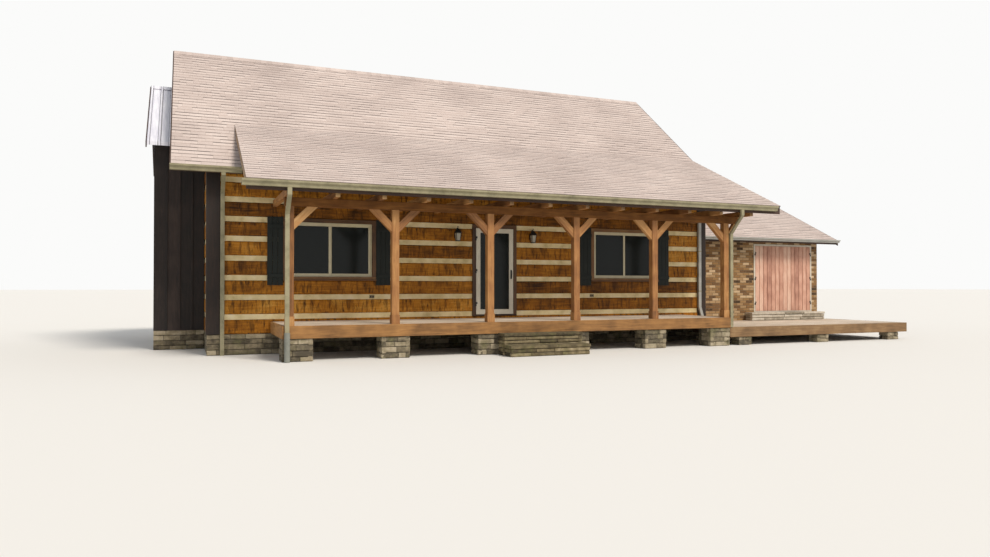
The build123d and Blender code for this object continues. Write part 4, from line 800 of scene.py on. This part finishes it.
for low, high in solids("porch_braces"):
    y = (low.y + high.y) / 2
    starts_here = any(abs(low.x - (shaft[1].x - FOOT_BOARD)) < 0.01 for shaft in shafts)
    face, turn = (low.x, 1) if starts_here else (high.x, -1)
    if high.z > beam_low.z + 0.01:
        foot, head = (face, y, low.z + OUTRIGGER_FOOT), (high.x - OUTRIGGER_HEAD, y, high.z)
        deep = OUTRIGGER_DEPTH
    else:
        inner = high.x - low.x - BRACE_DEPTH / math.sqrt(2)
        foot, head = (face, y, high.z - inner), (face + turn * inner, y, high.z)
        deep = BRACE_DEPTH
    braces.piece(foot, head, deep, high.y - low.y, ease=0.005, start_cut=RIGHT, end_cut=UP)
braces.show("knee_braces", frame_wood, "porch_timber", ["porch_braces"])
for low, high in solids("porch_joists"):
    joists.fill(low, high, 1, LEFT, ease=0.004)
    tails.fill((low.x, low.y + TAIL_LAP - TAIL_SKIN, low.z), (high.x, low.y + TAIL_LAP, high.z), 2,
               ease=0.0005)
joists.show("ceiling_joists", frame_wood, "roof_framing", ["porch_joists"])
tails.show("joist_tails", end_grain, "roof_framing")
finish("porch_rafters", rafter_wood)

# Brick wing
# Tan and pinkish bricks with some dark ones among them, 65 mm high, laid in stretcher bond in brown mortar.
# The clay is clouded by the fire in patches of 70 mm, and its sand is drawn 8 mm coarse so that it shows.
HALF_BOND = 0.5
BRICK_LENGTH = 0.225
BRICK_RISE = 0.075
BRICK_JOINT = 0.010
BRICK_SLIP = 0.03
MORTAR_BACK = 0.006
BRICK_TILT = 0.0015
ROWS_INPUTS = {"Unit": "Object", "Width": "Float", "Height": "Float", "Unit Length": "Float",
               "Unit Height": "Float", "Joint": "Float", "Row Shift": "Float", "Scatter": "Float",
               "Unevenness": "Float", "Seed": "Int", "Material": "Material"}
# Each step has a name, an operation and its values: inputs, earlier steps, the unit's index or numbers.
ROWS_STEPS = (
    ("fitting", "DIVIDE", "Width", "Unit Length"), ("whole", "CEIL", "fitting"),
    ("columns", "ADD", "whole", 1.0),
    ("stacked", "DIVIDE", "Height", "Unit Height"), ("trimmed", "SUBTRACT", "stacked", 0.01),
    ("rows", "CEIL", "trimmed"), ("count", "MULTIPLY", "rows", "columns"),
    ("middle", "ADD", "index", 0.5), ("passed", "DIVIDE", "middle", "columns"), ("row", "FLOOR", "passed"),
    ("before", "MULTIPLY", "row", "columns"), ("column", "SUBTRACT", "index", "before"),
    ("slip", "RANDOM", 0.0, 1.0, "row", "Seed"), ("stray", "MULTIPLY", "slip", "Scatter"),
    ("bond", "MULTIPLY", "row", "Row Shift"), ("moved", "ADD", "bond", "stray"), ("shift", "FRACT", "moved"),
    ("place", "SUBTRACT", "column", "shift"), ("start", "MULTIPLY", "place", "Unit Length"),
    ("stop", "ADD", "start", "Unit Length"), ("left", "MAXIMUM", "start", 0.0),
    ("right", "MINIMUM", "stop", "Width"),
    ("span", "SUBTRACT", "right", "left"), ("length", "SUBTRACT", "span", "Joint"),
    ("kept", "GREATER_THAN", "length", 0.003),
    ("bottom", "MULTIPLY", "row", "Unit Height"), ("next", "ADD", "bottom", "Unit Height"),
    ("top", "MINIMUM", "next", "Height"), ("rise", "SUBTRACT", "top", "bottom"),
    ("height", "SUBTRACT", "rise", "Joint"),
    ("sides", "ADD", "left", "right"), ("x", "MULTIPLY", "sides", 0.5),
    ("out of line", "RANDOM", -1.0, 1.0, "index", "Seed"), ("y", "MULTIPLY", "out of line", "Unevenness"),
    ("ends", "ADD", "bottom", "top"), ("z", "MULTIPLY", "ends", 0.5),
    ("tone seed", "ADD", "Seed", 7.0), ("tone", "RANDOM", 0.0, 1.0, "index", "tone seed"))


def rows_tree():
    """Rows of units over a rectangle in XZ, each with its own random tone."""
    tree = bpy.data.node_groups.new("units_in_rows", "GeometryNodeTree")
    for name, kind in ROWS_INPUTS.items():
        tree.interface.new_socket(name=name, in_out="INPUT", socket_type="NodeSocket" + kind)
    tree.interface.new_socket(name="Mesh", in_out="OUTPUT", socket_type="NodeSocketGeometry")
    known = {socket.name: socket for socket in add(tree, "NodeGroupInput").outputs}
    known["index"] = add(tree, "GeometryNodeInputIndex").outputs[0]
    for name, operation, *values in ROWS_STEPS:
        values = [known.get(value, value) for value in values]
        if operation == "RANDOM":
            made = add(tree, "FunctionNodeRandomValue", dict(zip((2, 3, 7, 8), values)), data_type="FLOAT")
            known[name] = made.outputs[1]
        else:
            known[name] = add(tree, "ShaderNodeMath", dict(enumerate(values)), operation=operation).outputs[0]
    place = add(tree, "ShaderNodeCombineXYZ", {0: known["x"], 1: known["y"], 2: known["z"]})
    size = add(tree, "ShaderNodeCombineXYZ", {0: known["length"], 1: 1.0, 2: known["height"]})
    points = add(tree, "GeometryNodePoints", {"Count": known["count"], "Position": place})
    unit = add(tree, "GeometryNodeObjectInfo", {"Object": known["Unit"]}).outputs["Geometry"]
    placed = add(tree, "GeometryNodeInstanceOnPoints", {"Points": points, "Selection": known["kept"],
                                                        "Instance": unit, "Scale": size})
    toned = add(tree, "GeometryNodeStoreNamedAttribute", {"Geometry": placed, "Value": known["tone"]},
                data_type="FLOAT", domain="INSTANCE")
    toned.inputs["Name"].default_value = "tone"
    real = add(tree, "GeometryNodeRealizeInstances", {"Geometry": toned})
    coated = add(tree, "GeometryNodeSetMaterial", {"Geometry": real, "Material": known["Material"]})
    add(tree, "NodeGroupOutput", {"Mesh": coated})
    return tree


units_in_rows = rows_tree()


def unit(name, length, height, depth, ease, butt=None, lap=0.0):
    """A unit in the middle of a 1 by 1 field, its face at -depth in Y. butt makes it a wedge, thick below."""
    work = bmesh.new()
    bmesh.ops.create_cube(work, size=1.0)
    for vert in work.verts:
        vert.co = Vector((vert.co.x * length, (vert.co.y - 0.5) * depth, vert.co.z * height))
    if ease:
        front = [e for e in work.edges if all(v.co.y < -depth * 0.5 for v in e.verts)]
        bmesh.ops.bevel(work, geom=front, offset=ease, segments=1, affect="EDGES")
    for vert in work.verts:
        if butt is not None and vert.co.y < -1e-6:
            vert.co.y = -butt if vert.co.z < 0 else -depth
        if lap and vert.co.z > 0:
            vert.co.z += lap
        vert.co.x /= length
        vert.co.z /= height
    mesh = settled(name, work)
    rise = mesh.attributes.new("rise", "FLOAT", "POINT")
    rise.data.foreach_set("value", [(v.co.z + 0.5) * height for v in mesh.vertices])
    return bpy.data.objects.new(name, mesh)


def rows(part, material, width, height, length, rise, joint, corner, up, out, seed, scatter=0.0, uneven=0.0):
    """The mesh of one rectangle of units; corner is its lower left corner, seen from outside."""
    holder = bpy.data.objects.new("rows", bpy.data.meshes.new("rows"))
    bpy.context.collection.objects.link(holder)
    modifier = holder.modifiers.new("rows", "NODES")
    modifier.node_group = units_in_rows
    values = (part, width, height, length, rise, joint, HALF_BOND, scatter, uneven, seed, material)
    values = dict(zip(ROWS_INPUTS, values))
    for item in units_in_rows.interface.items_tree:
        if item.in_out == "INPUT":
            modifier[item.identifier] = values[item.name]
    bpy.context.view_layer.update()
    shape = holder.evaluated_get(bpy.context.evaluated_depsgraph_get())
    mesh = bpy.data.meshes.new_from_object(shape)
    bpy.data.objects.remove(holder)
    mesh.transform(Matrix.Translation(corner) @ Matrix((up.cross(out), -out, up)).transposed().to_4x4())
    return mesh


def joined(name, meshes, material):
    """Several meshes as one, with their tones."""
    verts, faces, tones = [], [], []
    for mesh in meshes:
        base = len(verts)
        verts += [tuple(v.co) for v in mesh.vertices]
        faces += [tuple(base + i for i in face.vertices) for face in mesh.polygons]
        tones += [item.value for item in mesh.attributes["tone"].data]
    made = bpy.data.meshes.new(name)
    made.from_pydata(verts, [], faces)
    made.attributes.new("tone", "FLOAT", "POINT").data.foreach_set("value", tones)
    made.materials.append(material)
    return made


brick_clay, tree, place = new_material("mixed_tan_brick")
tone = add(tree, "ShaderNodeAttribute", attribute_name="tone").outputs["Fac"]
fire = add(tree, "ShaderNodeTexNoise", {"Vector": place, "Scale": per(71.4), "Detail": 6.0, "Roughness": 0.7})
paint = add(tree, "ShaderNodeValToRGB", {"Fac": weighed(tree, -0.17, (tone, 1.0), (fire, 0.35))},
            stops=[(0.03, "#43321f"), (0.1, "#694d32"), (0.3, "#836039"), (0.55, "#957348"), (0.8, "#ab8d67"),
                   (0.97, "#c6ab87")])
grit = add(tree, "ShaderNodeTexNoise", {"Vector": place, "Scale": per(8.33), "Detail": 4.0, "Roughness": 0.7})
coat(brick_clay, paint, 0.9, grit, 0.6, 0.003)
brick_mortar = stone("weathered_brick_mortar", [(0.2, "#6b5e49"), (0.8, "#8f8269")])
brick = unit("brick", BRICK_LENGTH, BRICK_RISE, BRICK_SLIP, 0.003)


def brick_wall(name, node, out, faces, cores):
    """Brick slips over faces that look one way, and the wall behind them in mortar."""
    meshes = []
    for number, (low, high) in enumerate(faces):
        corner = Vector((low.x if out == FRONT else high.x, high.y if out == BACK else low.y, low.z))
        width = high.y - low.y if out.x else high.x - low.x
        meshes.append(rows(brick, brick_clay, width, high.z - low.z, BRICK_LENGTH, BRICK_RISE, BRICK_JOINT,
                           corner - out * BRICK_SLIP, UP, out, 101 + number, uneven=BRICK_TILT))
    show(name + "_bricks", joined(name + "_bricks", meshes, brick_clay), [node])
    core = Stock(100)
    for low, high in cores:
        core.fill(low, high, 0, ease=0.001)
    core.show(name + "_mortar", brick_mortar, "brick")


front_left, front_right = solids("wing_front_wall")
end_wall = solids("wing_end_wall")[0]
back_wall = solids("wing_back_wall")[0]
lintel = solids("wing_door_lintel")[0]
in_x, in_y = RIGHT * MORTAR_BACK, BACK * MORTAR_BACK
brick_wall("wing_front", "wing_front_wall", FRONT, (front_left, front_right),
           ((front_left[0] + in_y, front_left[1]), (front_right[0] + in_y, front_right[1] - in_x)))
brick_wall("wing_lintel", "wing_door_lintel", FRONT, (lintel,), ((lintel[0] + in_y, lintel[1]),))
brick_wall("wing_end", "wing_end_wall", RIGHT,
           ((front_right[0], Vector((end_wall[1].x, back_wall[1].y, end_wall[1].z))),),
           ((end_wall[0], end_wall[1] - in_x),))
brick_wall("wing_back", "wing_back_wall", BACK, (back_wall,), ((back_wall[0], back_wall[1] - in_x - in_y),))

# Wing doors
# A pair of ledged doors of upright tongued boards, hung on three hinges each in an off-white frame. Their
# maroon paint has faded to a chalky pink.
LEAF_BOARDS = 7
LEAF_JOINT = 0.014
LEAF_BOARD = 0.045
TONGUE = 0.02
TONGUE_BACK = 0.004
TONGUE_SHORT = 0.002
LEDGE = 0.14
LEDGE_INSET = 0.06
LEDGE_SHARES = (0.12, 0.5, 0.88)
JAMB = 0.05
DOOR_SILL = 0.025
maroon = wood("faded_maroon_boards", ("#8c5e4e", "#cb9b85", "#e5c4ae"), rough=0.75)
frame_paint = enamel("pale_frame_paint", "#d6cfc0", "#9a917e", rough=0.6, grime=0.4)
for side in ("left", "right"):
    leaf = Stock(111)
    low, high = solids("wing_" + side + "_door")[0]
    width = (high.x - low.x) / LEAF_BOARDS
    back_y = low.y + LEAF_BOARD
    for i in range(LEAF_BOARDS):
        x0 = low.x + i * width + (LEAF_JOINT / 2 if i else 0)
        x1 = low.x + (i + 1) * width - (LEAF_JOINT / 2 if i < LEAF_BOARDS - 1 else 0)
        leaf.fill((x0, low.y, low.z), (x1, back_y, high.z), 2)
    y = low.y + LEAF_BOARD / 2 + TONGUE_BACK
    leaf.fill((low.x + width / 2, y - TONGUE / 2, low.z + TONGUE_SHORT),
              (high.x - width / 2, y + TONGUE / 2, high.z - TONGUE_SHORT), 2, ease=0.002)
    for share in LEDGE_SHARES:
        z = low.z + share * (high.z - low.z)
        leaf.fill((low.x + LEDGE_INSET, back_y, z - LEDGE / 2),
                  (high.x - LEDGE_INSET, high.y, z + LEDGE / 2), 0, BACK, ease=0.004)
    leaf.show("wing_" + side + "_door_boards", maroon, "maroon_boards", ["wing_" + side + "_door"],
              body="wing_" + side + "_leaf")
wing_frame = Stock(112)
surround(wing_frame, *solids("wing_door_frame")[0], JAMB, foot=DOOR_SILL)
wing_frame.show("wing_door_jambs", frame_paint, "wing_frame_wood", ["wing_door_frame"])

# Shingle roofs
# Asphalt shingles faced with mineral granules, pinkish tan and grey mixed, in 143 mm courses on brown boards.
# The granules are drawn 10 mm across so that they show; each butt has a painted shadow on the course below.
SHINGLE_LENGTH = 0.305
SHINGLE_EXPOSURE = 0.143
SHINGLE_SLOT = 0.002
SHINGLE_BUTT = 0.011
SHINGLE_TOP = 0.003
SHINGLE_LAP = 0.04
SHINGLE_STRAY = 0.35
BUTT_SHADOW = (0.03, 0.01)
SHEATHING_BOARD = 0.14
CAP_SHINGLE = 0.0055
CAP_REACH = 0.15
CAP_FOOT = 0.013
CAP_GAP = 0.001
shingle_granules, tree, place = new_material("granule_faced_asphalt")
tone = add(tree, "ShaderNodeAttribute", attribute_name="tone").outputs["Fac"]
rise = add(tree, "ShaderNodeAttribute", attribute_name="rise").outputs["Fac"]
fleck = add(tree, "ShaderNodeTexNoise", {"Vector": place, "Scale": per(10.5), "Detail": 3.0,
                                         "Roughness": 0.8})
weather = add(tree, "ShaderNodeTexNoise", {"Vector": place, "Scale": per(1818), "Detail": 5.0,
                                           "Roughness": 0.6})
level = weighed(tree, -0.225, (tone, 0.13), (fleck, 0.8), (weather, 0.5))
paint = add(tree, "ShaderNodeValToRGB", {"Fac": level},
            stops=[(0.15, "#8b7f79"), (0.4, "#bcada6"), (0.6, "#d5c6be"), (0.85, "#ebe0d9")])
# Painted shadow: the top 30 mm of each exposed course, under the next butt, darkens towards #4a3f40, fully in
# its top 10 mm, and more under some shingles than others.
depth = add(tree, "ShaderNodeMath", {0: tone, 1: 1.5, 2: -0.15}, operation="MULTIPLY_ADD", use_clamp=True)
under = add(tree, "ShaderNodeMapRange", {"Value": rise, "From Min": SHINGLE_EXPOSURE - BUTT_SHADOW[0],
                                         "From Max": SHINGLE_EXPOSURE - BUTT_SHADOW[1], "To Max": depth})
shaded = add(tree, "ShaderNodeMix", {0: under, 6: paint, 7: "#4a3f40"}, data_type="RGBA").outputs[2]
coat(shingle_granules, shaded, 0.92, fleck, 0.5, 0.003)
shingle = unit("shingle", SHINGLE_LENGTH, SHINGLE_EXPOSURE, SHINGLE_TOP, 0.0, SHINGLE_BUTT, SHINGLE_LAP)
# The boards' dark brown is painted shade, for the ceiling under the porch roof and the line along the eave.
sheathing = wood("roof_sheathing", ("#2c1d13", "#5a3f2a", "#7d5c3f"), rough=0.75, coords="x",
                 joints=SHEATHING_BOARD)


def sheathed(node, eave, ridge, drop):
    """A copy of a roof slope's solid, its top lowered so that what lies on it ends at the real surface."""
    work = whole(node)
    rise = (ridge.z - eave.z) / (ridge.y - eave.y)
    for vert in work.verts:
        if abs(vert.co.z - (eave.z + rise * (vert.co.y - eave.y))) < 1e-3:
            vert.co.z -= drop
    return settled(node + "_boards", work, sheathing)


for number, node in enumerate(("main_roof_front", "main_roof_back", "porch_roof", "wing_roof_front",
                               "wing_roof_back")):
    eave, ridge, x0, x1 = slope_of(node)
    up = (ridge - eave).normalized()
    out = Vector((0, -up.z, up.y)) if up.y > 0 else Vector((0, up.z, -up.y))
    start = Vector((x0 if up.y > 0 else x1, eave.y, eave.z)) - out * SHINGLE_BUTT
    mesh = rows(shingle, shingle_granules, x1 - x0, (ridge - eave).length - SHINGLE_LAP, SHINGLE_LENGTH,
                SHINGLE_EXPOSURE, SHINGLE_SLOT, start, up, out, 50 + number, scatter=SHINGLE_STRAY)
    show(node + "_shingles", mesh, [node])
    show(node + "_boards", sheathed(node, eave, ridge, SHINGLE_BUTT / abs(up.y)))
caps = Stock(56)
for low, high in solids("ridge_caps"):
    pitch = pitch_over(high)
    count = round((high.x - low.x) / SHINGLE_EXPOSURE)
    each = (high.x - low.x) / count
    for turn in (-1, 1):
        down = Vector((0, turn, -pitch)).normalized()
        face = Vector((0, turn * pitch, 1)).normalized()
        reach = CAP_REACH / abs(down.y)
        flank = Vector((low.x, (low.y + high.y) / 2, high.z - CAP_FOOT)) + down * (reach / 2)
        for i in range(count):
            lower = flank + RIGHT * i * each + face * CAP_SHINGLE / 2
            upper = flank + RIGHT * ((i + 1) * each - CAP_GAP) + face * CAP_SHINGLE
            ends = (lower, upper) if turn < 0 else (upper, lower)
            caps.piece(*ends, reach, CAP_SHINGLE, face, ease=0.001)
caps.show("ridge_shingles", shingle_granules, "shingles", ["ridge_caps"])

# Ribbed metal roof
# Pale painted steel sheets with raised ribs, screwed down through the ribs, under a folded ridge flashing.
# Rain leaves streaks 50 mm wide on the sheets, and a line of painted shade darkens both sides of each rib.
RIB_SPACING = 0.229
RIB_WIDTH = 0.06
RIB_HEIGHT = 0.019
RIB_LINE = 0.016
SCREW = 0.012
SCREW_PROUD = 0.004
SCREW_ROWS = 5
sheet_paint, tree, place = new_material("painted_steel_sheet")
run_off = add(tree, "ShaderNodeMapping", {"Vector": place, "Scale": (9, 0.7, 0.7)})
streak = add(tree, "ShaderNodeTexNoise", {"Vector": run_off, "Scale": per(455), "Detail": 5.0})
paint = add(tree, "ShaderNodeValToRGB", {"Fac": streak}, stops=[(0.3, "#d6d6e4"), (0.65, "#f4f4fc")])
across = add(tree, "ShaderNodeSeparateXYZ", {"Vector": place})
across = add(tree, "ShaderNodeMath", {0: across, 1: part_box("annex_roof_front")[0][0] + RIB_WIDTH / 2},
             operation="SUBTRACT")
across = add(tree, "ShaderNodeMath", {0: across, 1: RIB_SPACING / 2}, operation="PINGPONG")
# Painted shade: a 16 mm line beside each rib darkens towards #4d4c58, more where the sheet is paler.
beside = add(tree, "ShaderNodeMath", {0: across, 1: RIB_WIDTH / 2, 2: RIB_LINE / 2}, operation="COMPARE")
rib_shade = add(tree, "ShaderNodeMapRange", {"Value": streak, "From Min": 0.3, "From Max": 0.65, "To Min": 0.5,
                                        "To Max": 0.95})
rib_shade = add(tree, "ShaderNodeMath", {0: beside, 1: rib_shade}, operation="MULTIPLY")
# The rib lines of painted shade are laid over the rain-streaked paint.
soiled = add(tree, "ShaderNodeMix", {0: rib_shade, 6: paint, 7: "#4d4c58"}, data_type="RGBA").outputs[2]
coat(sheet_paint, soiled, 0.4, streak, 0.15, 0.004, {"Metallic": 0.1})
for node in ("annex_roof_front", "annex_roof_back", "annex_ridge_flashing"):
    finish(node, sheet_paint)
eave, ridge, x0, x1 = slope_of("annex_roof_front")
screws = Stock(64)
for turn in (-1, 1):
    face = Vector((0, turn * pitch_of("annex_roof_front"), 1)).normalized()
    for row in range(SCREW_ROWS):
        spot = eave + (ridge - eave) * ((row + 0.3) / SCREW_ROWS)
        y = spot.y if turn < 0 else 2 * ridge.y - spot.y
        for rib in range(int((x1 - x0 - RIB_WIDTH) / RIB_SPACING) + 1):
            head = Vector((x0 + RIB_WIDTH / 2 + rib * RIB_SPACING, y, spot.z + RIB_HEIGHT))
            screws.piece(head, head + face * SCREW_PROUD, SCREW, SCREW, RIGHT, ease=0.004)
screws.show("roof_screws", sheet_paint, "ribbed_metal")

# Gutters, pipes and trim
# Ogee gutters and square pipes of folded aluminium on dark brown fascia boards: satin olive on the house and
# porch, grey on the wing and for the pipe beside it. Hangers cross the troughs, straps hold the pipes, and
# one pipe ends in a dull grey boot.
HANGER_SPACING = 0.81
HANGER = 0.025
HANGER_REACH = 0.0605
HANGER_THICK = 0.002
HANGER_DOWN = 0.003
STRAP = 0.03
STRAP_SKIN = 0.0015
STRAP_SHARES = (0.3, 0.68)
PIPE_WIDE = 0.083
PIPE_DEEP = 0.06
BOOT_BELOW = 0.7
CORNER_PIPE_FROM = 4.0
TRIM_BROWNS = ("#2c1c13", "#4a3122", "#684a35")
olive_metal = enamel("olive_painted_aluminium", "#999173", "#5b573c", rough=0.42, grime=0.7)
pale_metal = enamel("grey_painted_aluminium", "#aeaea8", "#75746c", rough=0.38, grime=0.5)
boot_clay = enamel("grey_drain_boot", "#83857c", "#4d4f48", rough=0.75, grime=0.7)
finish("fascia_boards", wood("dark_brown_trim", TRIM_BROWNS, rough=0.7, coords="x"))
finish("rake_boards", wood("dark_brown_rake_boards", TRIM_BROWNS, rough=0.7, coords="y"))


def taken(name, node, keep, material):
    """Shows those solids of a frame node whose lowest and highest corners pass keep."""
    work = whole(node)
    boxes = [(low, high) for low, high in solids(node) if keep(low, high)]
    near = Vector((1e-4, 1e-4, 1e-4))
    gone = [v for v in work.verts if not any(
        all(a <= c <= b for a, c, b in zip(low - near, v.co, high + near)) for low, high in boxes)]
    bmesh.ops.delete(work, geom=gone, context="VERTS")
    show(name, settled(name, work, material), [node] if name.startswith("house") else ())


def is_boot(low, high):
    """The drain boot is the one short upright solid among the pipes."""
    return high.z - low.z < BOOT_BELOW


def is_corner(low, high):
    """The pipe that runs from the porch roof down the house's right front corner post."""
    return low.x > CORNER_PIPE_FROM and high.y < 0


wing_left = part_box("wing_front_wall")[0][0]
taken("house_gutters", "gutters", lambda low, high: low.x < wing_left, olive_metal)
taken("wing_gutters", "gutters", lambda low, high: low.x >= wing_left, pale_metal)
hangers = Stock(121)
for low, high in solids("gutters"):
    y = (low.y + high.y) / 2
    count = round((high.x - low.x) / HANGER_SPACING)
    for i in range(count):
        x = low.x + (i + 0.5) * (high.x - low.x) / count
        hangers.fill((x - HANGER / 2, y - HANGER_REACH, high.z - HANGER_DOWN - HANGER_THICK),
                     (x + HANGER / 2, y + HANGER_REACH, high.z - HANGER_DOWN), 1, UP, ease=0.0005)
hangers.show("gutter_hangers", pale_metal, "gutter_metal")
taken("house_pipes", "downspouts", lambda low, high: not is_boot(low, high) and not is_corner(low, high),
      olive_metal)
taken("corner_pipe", "downspouts", is_corner, pale_metal)
taken("drain_boot", "downspouts", is_boot, boot_clay)
straps = Stock(122)
for low, high in solids("downspouts"):
    if is_boot(low, high):
        continue
    y0 = high.y - PIPE_DEEP if low.y < 0 else low.y
    for share in STRAP_SHARES:
        z = low.z + share * (high.z - low.z)
        straps.fill((low.x - STRAP_SKIN, y0 - STRAP_SKIN, z),
                    (low.x + PIPE_WIDE + STRAP_SKIN, y0 + PIPE_DEEP + STRAP_SKIN, z + STRAP), 2, ease=0.001)
straps.show("pipe_straps", olive_metal, "gutter_metal")
